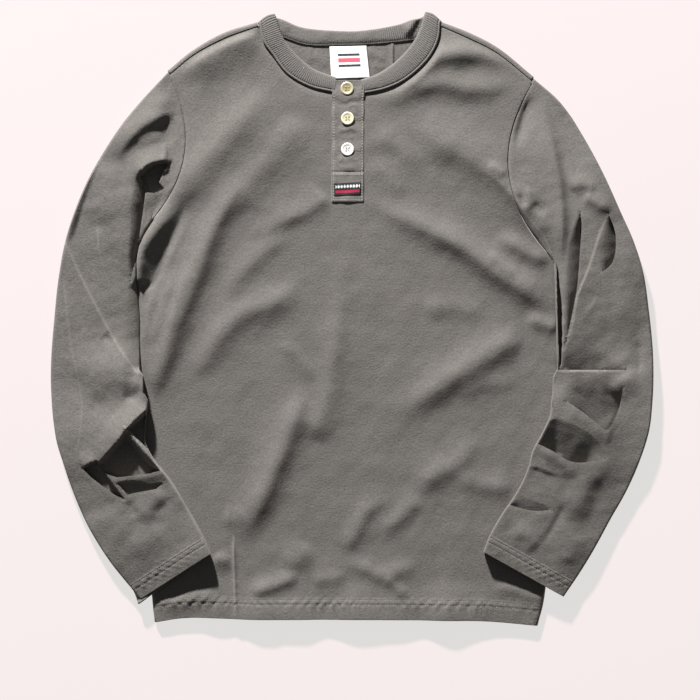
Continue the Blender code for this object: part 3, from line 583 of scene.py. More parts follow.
# Colours
GREY = (0.128, 0.118, 0.108)
GREY_RIB = (0.140, 0.130, 0.120)
THREAD = (0.27, 0.255, 0.235)
PALE_THREAD = (0.48, 0.46, 0.42)
STRIP_GREY = tuple(1.12 * c for c in GREY)
FLOOR_COLOURS = ((0.165, 0.108, 0.116, 1.0), (0.171, 0.113, 0.121, 1.0))
FLOOR_GLOW = (1.0, 0.985, 0.965, 1.0)
FLOOR_GLOW_STRENGTH = 0.712

# Light, camera and floor, in metres
SKY = 0.13
LAMP = 690.0
LAMP_SIZE = 0.31
LAMP_RISE = 23.0  # degrees
LAMP_DISTANCE = 4.5
LAMP_FROM = (-0.307, 0.952)
CAMERA_HEIGHT = 3.2
FIELD = 0.784  # how much of the floor the camera sees from side to side
FIELD_CENTRE = (-2.24, -34.72)  # in millimetres
FLOOR_HALF = 7.0
FLOOR_LEVEL = -0.0003


def blend(a, b, share):
    return a + (b - a) * share


def smooth_step(t):
    t = np.clip(t, 0.0, 1.0)
    return t * t * (3.0 - 2.0 * t)


def round_over(t):
    """0 to 1 along a quarter circle."""
    return np.sqrt(1.0 - (1.0 - np.clip(t, 0.0, 1.0)) ** 2)


def bump_at(distance, width):
    return np.exp(-((distance / width) ** 2))


def spline_at(rows, stations):
    """Rows of a table read at stations between 0 and its last row, on a Catmull-Rom spline through them."""
    table = np.array(rows, float)
    padded = np.vstack([2 * table[0] - table[1], table, 2 * table[-1] - table[-2]])
    first = np.minimum(stations.astype(int), len(table) - 2)
    t = (stations - first)[:, None]
    a, b, c, d = (padded[first + k] for k in range(4))
    return 0.5 * (2 * b + (c - a) * t + (2 * a - 5 * b + 4 * c - d) * t**2 + (3 * b - a - 3 * c + d) * t**3)


def curve(points, step):
    """A smooth path through the points, resampled at about the given step."""
    fine = spline_at(points, np.linspace(0, len(points) - 1, 24 * len(points)))
    along = np.concatenate([[0], np.cumsum(np.linalg.norm(np.diff(fine[:, :2], axis=0), axis=1))])
    even = np.linspace(0, along[-1], max(2, round(along[-1] / step) + 1))
    return np.stack([np.interp(even, along, fine[:, k]) for k in range(fine.shape[1])], axis=1)


def left_normals(path):
    tangent = np.gradient(path[:, :2], axis=0)
    tangent /= np.linalg.norm(tangent, axis=1)[:, None]
    return np.stack([-tangent[:, 1], tangent[:, 0]], axis=1)


def nearest(points, path):
    """Distance to the path, offset from its foot point, and that foot's share of the path's length."""
    best = np.full(len(points), 1e9)
    offset = np.zeros((len(points), 2))
    share = np.zeros(len(points))
    spans = len(path) - 1
    for k in range(spans):
        start, run = path[k], path[k + 1] - path[k]
        t = np.clip((points - start) @ run / (run @ run), 0, 1)
        reach = points - start - t[:, None] * run
        distance = np.hypot(reach[:, 0], reach[:, 1])
        closer = distance < best
        best[closer] = distance[closer]
        offset[closer] = reach[closer]
        share[closer] = (k + t[closer]) / spans
    return best, offset, share


def plan_points(flat):
    """The x, y points that a flat list gives one after the other."""
    return np.array(flat, float).reshape(-1, 2)


def loop_of(outline):
    """An outline with its first point again at the end."""
    return np.vstack([outline, outline[:1]])


def smooth_path(flat):
    path = plan_points(flat)
    return spline_at(path, np.linspace(0, len(path) - 1, PATH_FINENESS * len(path)))


def around(points, path, reach):
    """Which points lie in the path's box widened by a reach."""
    low, high = path.min(axis=0) - reach, path.max(axis=0) + reach
    return np.flatnonzero(((points > low) & (points < high)).all(axis=1))


def fold_heights(points, folds, faceted=False):
    """Sum of the folds' crests at plan points: rounded crests, or faceted ones with straight slopes."""
    total = np.zeros(len(points))
    for flat, collar_side, hem_side, peak, height in folds:
        path = smooth_path(flat)
        near = around(points, path, FOLD_REACH * max(collar_side, hem_side))
        if not len(near):
            continue
        distance, offset, share = nearest(points[near], path)
        rise = np.where(share < peak, share / peak, (1 - share) / (1 - peak))
        taper = smooth_step(rise / FOLD_TAPER)
        run = path[-1] - path[0]
        leftward = np.sign(0.25 * run[1] + run[0])
        foot = np.minimum((share * (len(path) - 1)).astype(int), len(path) - 2)
        along = path[foot + 1] - path[foot]
        on_left = along[:, 0] * offset[:, 1] - along[:, 1] * offset[:, 0]
        width = np.where(on_left * leftward > 0, collar_side, hem_side) * (1 - FOLD_NARROWING + FOLD_NARROWING * taper)
        soft = CREST_SOFT * min(collar_side, hem_side)
        distance = np.sqrt(distance**2 + soft**2) - soft
        if faceted:
            slope = 1 - distance / width
            crest = (slope + np.sqrt(slope**2 + FACET_SOFT**2)) / 2
        else:
            crest = np.exp(-((distance / width) ** CREST_POWER))
        total[near] += height * crest * taper
    return total


def slope_sides(row):
    """A one-sided slope's soft side, its sharp side and its outline."""
    soft, sharp = smooth_path(row[0]), smooth_path(row[1])
    return soft, sharp, np.vstack([soft, sharp[::-1]])


def hollow_depths(points, hollows, slopes):
    """How far the hollows and the one-sided slopes sink at plan points."""
    total = np.zeros(len(points))
    for flat, depth, collar_wall, hem_wall in hollows:
        outline = plan_points(flat)
        near = around(points, outline, max(collar_wall, hem_wall))
        inside = inside_of(points[near], outline)
        distance, offset, _ = nearest(points[near], loop_of(outline))
        from_hem = smooth_step((offset[:, 1] - WALL_LEAN * offset[:, 0]) / np.maximum(distance, 1e-6) + 0.5)
        wall = blend(collar_wall, hem_wall, from_hem)
        sink = depth * np.where(inside, smooth_step(distance / np.maximum(wall, 0.02)), 0)
        total[near] = np.maximum(total[near], sink)
    for row in slopes:
        depth, power, rise = row[2:]
        soft, sharp, outline = slope_sides(row)
        near = around(points, outline, rise)
        inside = inside_of(points[near], outline)
        if not inside.any():
            continue
        from_soft, from_sharp = nearest(points[near], soft)[0], nearest(points[near], sharp)[0]
        span = np.where(inside, from_soft + from_sharp, from_soft - from_sharp)
        taper = smooth_step(span / (SLOPE_TAPER * span[inside].max()))
        fall = (from_soft / np.maximum(span, 0.01)) ** power
        fall = np.where(inside, fall, 1 - smooth_step(from_sharp / max(rise, 0.02)))
        total[near] = np.maximum(total[near], depth * taper * np.clip(fall, 0, 1))
    return total


def stand_walls(plan, hollows, slopes):
    """Moves the points on both sides of each upright wall onto it. Returns the new plan and where heights are read."""
    place, probe = plan.copy(), plan.copy()
    flat = plan.reshape(-1, 2)
    edges = [(loop_of(plan_points(row[0])), plan_points(row[0]), True) for row in hollows if not row[-1]]
    edges += [(*slope_sides(row)[1:], False) for row in slopes if not row[-1]]
    for path, outline, closed in edges:
        near = around(flat, path, WALL_SNAP + 2)
        inside = np.zeros(len(flat), bool)
        inside[near] = inside_of(flat[near], outline)
        inside = inside.reshape(plan.shape[:2])
        beside = np.zeros(inside.shape, bool)
        across, down = inside[:, 1:] != inside[:, :-1], inside[1:] != inside[:-1]
        beside[:, 1:] |= across
        beside[:, :-1] |= across
        beside[1:] |= down
        beside[:-1] |= down
        pick = np.flatnonzero(beside)
        distance, offset, share = nearest(flat[pick], path)
        out = offset / np.maximum(distance, 1e-6)[:, None]
        under = inside.reshape(-1)[pick][:, None]
        inward = np.where(under, out, -out)
        keep = (share > WALL_ENDS) & (share < 1 - WALL_ENDS)
        if closed:
            keep = inward[:, 1] - WALL_LEAN * inward[:, 0] > WALL_FACING
        keep &= distance < WALL_SNAP
        pick, offset, out, under = pick[keep], offset[keep], out[keep], under[keep]
        foot = flat[pick] - offset
        place.reshape(-1, 2)[pick] = foot - np.where(under, UNDERCUT, 0.0) * out
        probe.reshape(-1, 2)[pick] = foot + WALL_CLEAR * out
    return place, probe


def wear_and_highlight(points):
    """How much the pressed folds are worn and the edges that catch the light are painted lighter as a painted
    highlight, 0 to 1.
    """
    total = np.zeros(len(points))
    for flat, width, amount in WORN_AND_HIGHLIT_LINES:
        path = smooth_path(flat)
        near = around(points, path, 3 * width)
        if len(near):
            total[near] = np.maximum(total[near], amount * bump_at(nearest(points[near], path)[0], width))
    return total


def ripples(points, waves):
    """Small uneven waves of the cloth: rows of seed, count, shortest and longest wave, and height."""
    total = np.zeros(len(points))
    for seed, count, shortest, longest, height in waves:
        draw = np.random.default_rng(seed)
        layer = np.zeros(len(points))
        for _ in range(count):
            heading = draw.uniform(0, math.pi)
            length = draw.uniform(shortest, longest)
            phase = draw.uniform(0, 2 * math.pi)
            along = points[:, 0] * math.cos(heading) + points[:, 1] * math.sin(heading)
            layer += np.sin(2 * math.pi * along / length + phase) * length / longest
        total += layer * height / math.sqrt(count)
    return total


def side_x(y, side):
    """How far out the body's side seam lies at a height y."""
    path = np.array(SIDES[side], float)[::-1]
    return np.abs(np.interp(y, path[:, 1], path[:, 0]))


def under_forearm(points):
    """1 where a forearm lies on the body, 0 where the body shows."""
    x, y = np.abs(points[:, 0]), points[:, 1]
    top, fall = FOREARM_TOP
    cuff_y, cuff_x, slope = FOREARM_CUFF
    past_edge = x - np.interp(-y, *FOREARM_EDGE)
    above_cuff = y - (cuff_y - slope * (x - cuff_x))
    share = smooth_step((past_edge + FOREARM_EDGE_SOFT[0]) / FOREARM_EDGE_SOFT[1]) * smooth_step((top - y) / fall)
    return share * smooth_step((above_cuff + FOREARM_CUFF_SOFT[0]) / FOREARM_CUFF_SOFT[1])


def shoulder_line(side, step, inside):
    """The forward shoulder seam moved inside by a gap, the fold line, the strip's width past it, and outward."""
    path = curve(SHOULDERS[side], step)
    outward = left_normals(path) * side
    outline, seam_inside = path[:, :2], path[:, 2]
    seam = outline - outward * (seam_inside + inside)[:, None]
    fold = outline - outward * (SHOULDER_RADIUS + JERSEY / 2)
    strip = seam_inside - SHOULDER_RADIUS - JERSEY / 2
    return seam, fold, strip, outward


def neck_edge(step):
    """Neckline of the front panel, just outside the neckband's seam edge."""
    right, left = NECKBAND[:BAND_TURNS[0]], NECKBAND[BAND_TURNS[1] + 1:]
    path = np.vstack([curve([row[:2] for row in rows[::-1]], step) for rows in (right, left)])
    away = path - np.array(NECK_MIDDLE)
    return path + away / np.linalg.norm(away, axis=1)[:, None] * SEAM_GAP


def section_plan(row, side, share):
    """Plan points of sleeve sections, share 0 at the outer fold and 1 at the inner one."""
    outer, inner = row[..., None, 0:2], row[..., None, 2:4]
    chord = inner - outer
    across = np.stack([-chord[..., 1], chord[..., 0]], axis=-1) / np.linalg.norm(chord, axis=-1)[..., None] * -side
    return outer + share[..., None] * chord + (4 * row[..., None, 4] * share * (1 - share))[..., None] * across


def armhole(side, count):
    """The armhole seam from the shoulder tip to the underarm."""
    return section_plan(np.array(SLEEVES[side][0], float), side, np.linspace(0, 1, count))


# Edges and seams that distances are measured from
HEM_PATH = curve(HEM, 4.0)
HEM_LENGTH = 430.0
NECK_PATH = neck_edge(3.0)
ARMHOLES = {side: armhole(side, 70) for side in (-1, 1)}
SHOULDER_SEAMS = {side: shoulder_line(side, 4.0, SHOULDER_GAP)[0] for side in (-1, 1)}
SIDE_PATHS = {side: curve(SIDES[side], 6.0) for side in (-1, 1)}


def hem_lift(points):
    """How far the open front hem stands off the back, in uneven waves."""
    x, y = points[:, 0], points[:, 1]
    middle, half, soft = HEM_LIFT_X
    rise = smooth_step((HEM_LIFT_Y[0] - y) / HEM_LIFT_Y[1]) * smooth_step((half - np.abs(x - middle)) / soft)
    wave = 1 + sum(height * np.sin(x / length + phase) for height, length, phase in HEM_WAVES)
    return HEM_LIFT * rise * wave


def row_grooves(distance, rows, depth):
    """A turned edge: its step up and the grooves that its stitch rows pull in."""
    lift = TURNED_STEP[0] * smooth_step((depth - distance) / TURNED_STEP[1] + 0.5)
    for row in rows:
        lift -= ROW_GROOVE[0] * bump_at(distance - row, ROW_GROOVE[1])
    return lift


def edge_puckers(along, distance, seed, band):
    """Uneven slanting wrinkles in a band beside a turned edge. band is their height, the band's place and width."""
    draw = np.random.default_rng(seed)
    total = np.zeros(along.shape)
    for pitch, lean in PUCKERS:
        wander = 1.3 * np.sin(along / draw.uniform(15, 24) + draw.uniform(0, 6))
        swell = 0.5 + 0.5 * np.sin(along / draw.uniform(11, 30) + draw.uniform(0, 6))
        total += swell * np.sin((along + lean * distance) * 2 * math.pi / pitch + wander) * pitch / 9
    height, place, width = band
    return height * total * bump_at(distance - place, width)


def front_height(points):
    """Middle surface of the front panel."""
    folds = fold_heights(points, BODY_FOLDS) + ripples(points, BODY_RIPPLES)
    calm = np.ones(len(points))
    for seam in (SHOULDER_SEAMS[-1], SHOULDER_SEAMS[1], NECK_PATH):
        calm = np.minimum(calm, smooth_step((nearest(points, seam)[0] - 1) / SEAM_RUN))
    height = FRONT_LEVEL + folds * calm * (1 - under_forearm(points)) + hem_lift(points)
    height -= hollow_depths(points, (), BODY_SLOPES)
    height = np.maximum(height, FRONT_LOWEST)
    hem_distance, _, hem_share = nearest(points, HEM_PATH)
    height += row_grooves(hem_distance, HEM_ROWS, HEM_DEPTH)
    height += edge_puckers(hem_share * HEM_LENGTH, hem_distance, 41, HEM_PUCKER)
    for side in (-1, 1):
        distance = nearest(points, SIDE_PATHS[side])[0]
        height = blend(SIDE_FOOT, height, round_over(distance / SIDE_ROUND))
    return height


def seam_sink(points):
    """How far the front panel dips to its seams."""
    sink = np.zeros(len(points))
    for seam, depth, width in (
        (SHOULDER_SEAMS[-1], 0.6, 1.3),
        (SHOULDER_SEAMS[1], 0.6, 1.3),
        (NECK_PATH, 1.5, 3.2),
        (ARMHOLES[-1], 0.7, 1.2),
        (ARMHOLES[1], 0.2, 1.4),
    ):
        sink = np.maximum(sink, depth * bump_at(nearest(points, seam)[0], width))
    return sink


def new_object(name, data):
    thing = bpy.data.objects.new(name, data)
    bpy.context.scene.collection.objects.link(thing)
    return thing


def give_points(mesh, name, values):
    """Keeps a number for each of a mesh's points."""
    mesh.attributes.new(name, "FLOAT", "POINT").data.foreach_set("value", values.astype(np.float32))


def add_wall(thing, wall):
    """A wall of even thickness about a middle surface."""
    solidify = thing.modifiers.new("wall", "SOLIDIFY")
    solidify.thickness = wall * MM
    solidify.offset = 0.0


def add_mesh(name, points_mm, faces, finish, wall=0.0, weave=None):
    """An object from millimetre points. weave gives each point's place along the cloth, in millimetres."""
    mesh = bpy.data.meshes.new(name)
    mesh.from_pydata((np.asarray(points_mm, float) * MM).tolist(), [], [tuple(map(int, f)) for f in faces])
    mesh.materials.append(MATERIALS[finish])
    if weave is not None:
        layer = mesh.uv_layers.new(name="weave")
        corners = np.empty(len(mesh.loops), int)
        mesh.loops.foreach_get("vertex_index", corners)
        layer.data.foreach_set("uv", (np.asarray(weave, float)[corners] * MM).ravel())
        # each point's share of worn crease and of painted highlight, for the colour's lighter tint
        give_points(mesh, "worn_and_highlit", wear_and_highlight(np.asarray(points_mm, float)[:, :2]))
    mesh.shade_smooth()
    thing = new_object(name, mesh)
    if wall:
        add_wall(thing, wall)
    return thing


def grid_faces(rows, columns, closed=False, flip=False):
    """Quads between rows of points."""
    faces = []
    for k in range(rows - 1):
        for n in range(columns if closed else columns - 1):
            a, b = k * columns + n, k * columns + (n + 1) % columns
            quad = (a, b, b + columns, a + columns)
            faces.append(quad[::-1] if flip else quad)
    return faces


def without_doubles(path, least=0.3):
    kept = [path[0]]
    for point in path[1:]:
        if np.linalg.norm(point - kept[-1]) > least:
            kept.append(point)
    return np.array(kept)


def inside_of(points, outline):
    """Which plan points lie inside a closed outline."""
    inside = np.zeros(len(points), bool)
    x, y = points[:, 0], points[:, 1]
    for a, b in zip(outline, np.roll(outline, -1, axis=0)):
        crosses = (a[1] > y) != (b[1] > y)
        run = b[1] - a[1] if b[1] != a[1] else 1e-9
        inside ^= crosses & (x < (b[0] - a[0]) * (y - a[1]) / run + a[0])
    return inside


def fill_outline(outline, step, more=()):
    """Triangles of a closed plan outline, with rows of points just inside it and an even field in the middle."""
    closed = loop_of(outline)
    tangent = np.roll(outline, -1, axis=0) - np.roll(outline, 1, axis=0)
    tangent /= np.linalg.norm(tangent, axis=1)[:, None]
    inward = np.stack([-tangent[:, 1], tangent[:, 0]], axis=1)
    kept = []
    for inset in EDGE_INSETS:
        row = outline + inward * inset
        row = row[inside_of(row, outline)]
        kept.append(row[nearest(row, closed)[0] > ROW_CLEAR * inset])
    low, high = outline.min(axis=0), outline.max(axis=0)
    rows = np.arange(low[1] + step / 2, high[1], step * math.sqrt(0.75))
    field = [(x + (k % 2) * step / 2, y) for k, y in enumerate(rows) for x in np.arange(low[0], high[0], step)]
    field = np.array(field)
    field = field[inside_of(field, outline)]
    kept.append(field[nearest(field, closed)[0] > EDGE_INSETS[-1] + FIELD_CLEAR * step])
    if len(more):
        more = np.array(more)
        kept[-1] = kept[-1][nearest(kept[-1], more)[0] > FINE_CLEAR * step]
        kept.append(more)
    points = [tuple(p) for p in np.vstack([outline, *kept])]
    result = delaunay_2d_cdt(points, [], [list(range(len(outline)))], 1, 1e-5)
    return np.array([tuple(v) for v in result[0]]), [tuple(f) for f in result[2]]


def front_outline(step):
    """Anticlockwise from the right shoulder's neck point down the right side, along the hem and up the left."""
    parts = []
    for side in (-1, 1):
        seam = shoulder_line(side, step, SHOULDER_GAP)[0]
        hole = armhole(side, ARMHOLE_POINTS)[2:-1]
        edge = np.vstack([seam, hole, curve(SIDES[side], step)])
        parts.append(edge if side < 0 else edge[::-1])
    neck = neck_edge(step)
    middle = PLACKET_TOP[0]
    right = neck[neck[:, 0] < middle - SLIT_WIDTH / 2]
    left = neck[neck[:, 0] > middle + SLIT_WIDTH / 2]
    slit = curve_corners(
        (
            (middle + SLIT_WIDTH / 2, NECKBAND[-1][1] - SEAM_GAP),
            (middle + SLIT_WIDTH / 2, SLIT_FOOT_Y),
            (middle - SLIT_WIDTH / 2, SLIT_FOOT_Y),
            (middle - SLIT_WIDTH / 2, NECKBAND[0][1] - SEAM_GAP),
        ),
        step,
    )
    outline = np.vstack([parts[0], curve(HEM, step)[1:-1], parts[1], left[::-1], slit, right[::-1]])
    return without_doubles(outline)


def curve_corners(corners, step):
    """A path of straight runs, resampled."""
    points = [np.array(corners[0], float)]
    for a, b in zip(corners, corners[1:]):
        a, b = np.array(a, float), np.array(b, float)
        count = max(1, round(np.linalg.norm(b - a) / step))
        points += [a + (b - a) * k / count for k in range(1, count + 1)]
    return np.array(points)


def make_front_panel():
    outline = front_outline(FRONT_STEP)
    hem, crease = curve(HEM, FINE_STEP), curve(plan_points(WORN_AND_HIGHLIT_LINES[-1][0]), FINE_STEP)
    fine = np.vstack([hem + left_normals(hem) * inset for inset in np.arange(*HEM_FINE)])
    fine = fine[under_forearm(fine) < 0.5]
    beside = np.vstack([crease + left_normals(crease) * off for off in CREASE_FINE])
    beside = beside[nearest(beside, hem)[0] > HEM_FINE[1] + 0.5]
    more = np.vstack([fine[inside_of(fine, outline)], beside])
    edge = nearest(more, loop_of(outline))[0]
    plan, faces = fill_outline(outline, FRONT_STEP, more[edge > EDGE_INSETS[-1] + 1])
    points = np.column_stack([plan, front_height(plan) - seam_sink(plan)])
    return add_mesh("front_cloth", points, faces, "jersey", JERSEY, plan)


def shoulder_turn(side):
    """Rings of the back panel's turn round a shoulder's fold and forward on top, with their places in the cloth."""
    _, fold, strip, outward = shoulder_line(side, STRIP_STEP, 0.0)
    rings, places = [], []
    for turn in np.linspace(0, math.pi, SHOULDER_RINGS):
        out = SHOULDER_RADIUS * math.sin(turn)
        level = BACK_LEVEL + SHOULDER_RADIUS * (1 - math.cos(turn))
        rings.append(np.column_stack([fold + outward * out, np.full(len(fold), level)]))
        places.append(fold + outward * SHOULDER_RADIUS * turn)
    for share in STRIP_SHARES:
        rings.append(np.column_stack([fold - outward * (share * strip)[:, None], rings[-1][:, 2]]))
        places.append(places[SHOULDER_RINGS - 1] + outward * (share * strip)[:, None])
    return np.array(rings), np.array(places)


def neck_window():
    """Finer points of the back inside the open neck, finest across the crease there."""
    (left, right), (low, high), step = NECK_WINDOW
    (start, end), (foot, top), fine = NECK_CREASE
    points = [(x, y) for y in np.arange(low, high, step) for x in np.arange(left, right, step) if not start < x < end]
    return points + [(x, y) for y in np.arange(foot, top, step) for x in np.arange(start, end, fine)]


def make_back_panel():
    parts, turns = [], []
    for side in (-1, 1):
        rings, places = shoulder_turn(side)
        edge = np.vstack([rings[0][:, :2], armhole(side, ARMHOLE_POINTS)[2:-1], curve(SIDES[side], BACK_STEP)])
        parts.append(edge if side < 0 else edge[::-1])
        turns.append((side, rings, places))
    neck = curve(BACK_NECK, BACK_NECK_STEP)[1:-1]
    outline = without_doubles(np.vstack([parts[0], curve(HEM, BACK_STEP)[1:-1], parts[1], neck[::-1]]))
    plan, faces = fill_outline(outline, BACK_STEP, neck_window())
    inner = smooth_step((nearest(plan, loop_of(outline))[0] - BACK_CALM[0]) / BACK_CALM[1])
    low, height, power = BEHIND_NECK
    behind = smooth_step((plan[:, 1] - low) / height) * inner**power
    rise = fold_heights(plan, BACK_FOLDS) * np.maximum(inner, behind)
    points = [np.column_stack([plan, BACK_LEVEL + np.clip(rise, 0, BACK_RISE)])]
    weave = [plan]
    count = len(plan)
    for side, rings, places in turns:
        foot = [int(np.argmin(np.hypot(*(plan - at[:2]).T))) for at in rings[0]]
        index = np.vstack([foot, count + np.arange(rings[1:, :, 0].size).reshape(len(rings) - 1, -1)])
        for k in range(len(rings) - 1):
            for n in range(len(foot) - 1):
                quad = (index[k, n], index[k, n + 1], index[k + 1, n + 1], index[k + 1, n])
                if len(set(quad)) == 4:
                    faces.append(quad[::-1] if side < 0 else quad)
        points.append(rings[1:].reshape(-1, 3))
        weave.append(places[1:].reshape(-1, 2))
        count += len(points[-1])
    return add_mesh("back_cloth", np.vstack(points), faces, "jersey", JERSEY, np.vstack(weave))


def forearm_base(points, side, run, rise):
    """Middle surface of a sleeve's lower wall: on the floor, or on the body where the sleeve crosses it. run is
    the width over which it climbs onto the body, and rise holds the heights y between which it does."""
    x, y = points[:, 0], points[:, 1]
    outside = np.abs(x) - side_x(y, side)
    crossing = smooth_step((rise[0] - y) / (rise[0] - rise[1]))
    climb = 1 - smooth_step((outside - CLIMB_OFFSET) / run)
    return blend(BACK_LEVEL, OVER_BODY, climb * crossing)


def sleeve_shares(width, edge, flat_points):
    """Shares across sections, closer together where the tube rounds over its folds."""
    bend = (edge / width)[:, None] * np.linspace(0, 1, SLEEVE_BEND_POINTS) ** 1.8
    flat = np.linspace(0, 1, flat_points + 2)[1:-1]
    middle = bend[:, -1:] + (1 - 2 * bend[:, -1:]) * flat
    return np.concatenate([bend, middle, 1 - bend[:, ::-1]], axis=1)


def sleeve_plan(rows, side, stations, share):
    """Plan points of a sleeve's sections, whose inner fold leans on the side seam beside the body."""
    plan = section_plan(rows, side, share)
    everywhere, underarm, tip = ARMHOLE_EASE
    near_seam = np.clip(1 - stations / EASE_RUN, 0, 1)[:, None]
    plan[..., 0] += side * near_seam * (everywhere + underarm * share**3 + tip * (1 - share) ** 12)
    y = plan[..., 1]
    elbow_y, change, further = LAP_ELBOW
    outside = np.abs(plan[..., 0]) - side_x(y, side)
    lap = SIDE_LAP[side] - further * smooth_step((elbow_y - y) / change)
    lean = smooth_step((y - LAP_END[0]) / LAP_END[1]) * smooth_step((share - LAP_SHARE) / (1 - LAP_SHARE))
    plan[..., 0] -= side * lean * np.clip(outside - lap, 0, None)
    return plan


def sleeve_walls(side, stations, flat_points=SLEEVE_FLAT_POINTS):
    """Upper and lower middle surfaces of a sleeve at stations along its table, as (ring, share, xyz), and each
    point's distances from the cuff's edge and from the outer fold."""
    rows = spline_at(SLEEVES[side], stations)
    width = np.linalg.norm(rows[:, 2:4] - rows[:, :2], axis=1)
    puff, edge = rows[:, 5:6], rows[:, 6:7]
    share = sleeve_shares(width, rows[:, 6], flat_points)
    plan = sleeve_plan(rows, side, stations, share)
    flat, shape, y = plan.reshape(-1, 2), share.shape, plan[..., 1]
    from_outer, from_inner = share * width[:, None], (1 - share) * width[:, None]
    along = np.zeros(shape)
    along[:-1] = np.cumsum(np.linalg.norm(np.diff(plan, axis=0), axis=2)[::-1], axis=0)[::-1]
    from_seam = along[:1] - along
    # how far the walls stand apart, and how they round over at the two folds
    beside = smooth_step((y - BESIDE_BODY[0]) / BESIDE_BODY[1])
    tucked = beside * TUCK[side]
    inner_edge = blend(edge, INNER_EDGE[side], np.maximum(tucked, 1 - beside))
    bulge = np.minimum(round_over(from_outer / (OUTER_EDGE * edge)), round_over(from_inner / inner_edge))
    tuck_run = blend(*TUCK_RUN, smooth_step((y - TUCK_CHANGE[0]) / TUCK_CHANGE[1]))
    puff = blend(puff, TUCKED_PUFF, tucked * (1 - smooth_step(from_inner / tuck_run)))
    puff = blend(puff, blend(*CUFF_PUFF[side], share), bump_at(along, CUFF_RUN))
    # the folds
    place, probe = stand_walls(plan, SLEEVE_HOLLOWS[side], SLEEVE_SLOPES[side])
    probe = probe.reshape(-1, 2)
    folds = fold_heights(flat, SLEEVE_FOLDS[side]) + fold_heights(probe, SLEEVE_EDGES[side], faceted=True)
    folds -= hollow_depths(probe, SLEEVE_HOLLOWS[side], SLEEVE_SLOPES[side])
    folds += ripples(flat, SLEEVE_RIPPLES[side])
    # the two walls
    base = forearm_base(flat, side, CLIMB, CLIMB_RISE).reshape(shape)
    calm_base = forearm_base(probe, side, TOP_CLIMB, TOP_RISE[side]).reshape(shape)
    middle = base + puff / 2
    bottom = middle - puff / 2 * bulge
    own = middle + (puff / 2 + calm_base - base) * bulge
    at_seam = blend(middle, front_height(flat).reshape(shape), bulge)
    top = blend(at_seam, own, smooth_step(stations / SEAM_BLEND)[:, None])
    top += folds.reshape(shape) * bulge * smooth_step(from_seam / SEAM_RUN)
    top = np.maximum(top, bottom + LEAST_THICKNESS * bulge)
    # stitch rows, puckers and the dip at the armhole seam
    height, short, long = SEAM_PUCKER
    pucker = height * (np.sin(from_outer / short) + np.sin(from_outer / long + 2))
    detail = row_grooves(along, CUFF_ROWS, CUFF_DEPTH) + edge_puckers(from_outer, along, 51 + side, CUFF_PUCKER)
    dip = SEAM_DIP[side] * bump_at(from_seam, SEAM_DIP_WIDTH)
    detail += pucker * np.exp(-from_seam / SEAM_PUCKER_RUN) * (1 - np.exp(-from_seam)) - dip
    top += detail * bulge
    # the lower layer shows past the cuff
    shows = smooth_step(share / PEEK_SHARE[0]) * (1 - smooth_step(share / PEEK_SHARE[1])) * np.exp(-along / PEEK_RUN)
    curl = CUFF_CURL * (CUFF_PEEK[side][1] < 0) * shows * np.exp(-along / CURL_RUN)
    lower = np.dstack([plan + shows[..., None] * np.array(CUFF_PEEK[side]), bottom + curl])
    return np.dstack([place, top]), lower, along, from_outer


def split_steep(faces, heights, least=1.2):
    """Splits the quads on upright walls along the diagonal that is nearer level."""
    faces = np.array(faces)
    level = heights[faces]
    steep = np.ptp(level, axis=1) > least
    turn = np.abs(level[:, 0] - level[:, 2]) > np.abs(level[:, 1] - level[:, 3])
    turned = np.where(turn[:, None], np.roll(faces, -1, axis=1), faces)[steep]
    return faces[~steep].tolist() + turned[:, [0, 1, 2]].tolist() + turned[:, [0, 2, 3]].tolist()


def make_sleeve(name, side):
    last = len(SLEEVES[side]) - 1
    stations = np.concatenate([np.linspace(0, last - 1, SLEEVE_RINGS)[:-1], np.linspace(last - 1, last, CUFF_RINGS)])
    upper, _, along, across = sleeve_walls(side, stations)
    _, lower, under_along, under_across = sleeve_walls(side, stations, UNDER_POINTS)
    rings = np.concatenate([upper, lower[:, -2:0:-1]], axis=1)
    weave_low = np.dstack([2 * across[:, -1:] - under_across, under_along])
    weave = np.concatenate([np.dstack([across, along]), weave_low[:, -2:0:-1]], axis=1)
    faces = grid_faces(rings.shape[0], rings.shape[1], closed=True, flip=side < 0)
    faces = split_steep(faces, rings[..., 2].ravel())
    sleeve = add_mesh(name, rings.reshape(-1, 3), faces, "jersey", JERSEY, weave.reshape(-1, 2))
    sleeve.data.set_sharp_from_angle(angle=math.radians(SLEEVE_SHARP))
    return sleeve


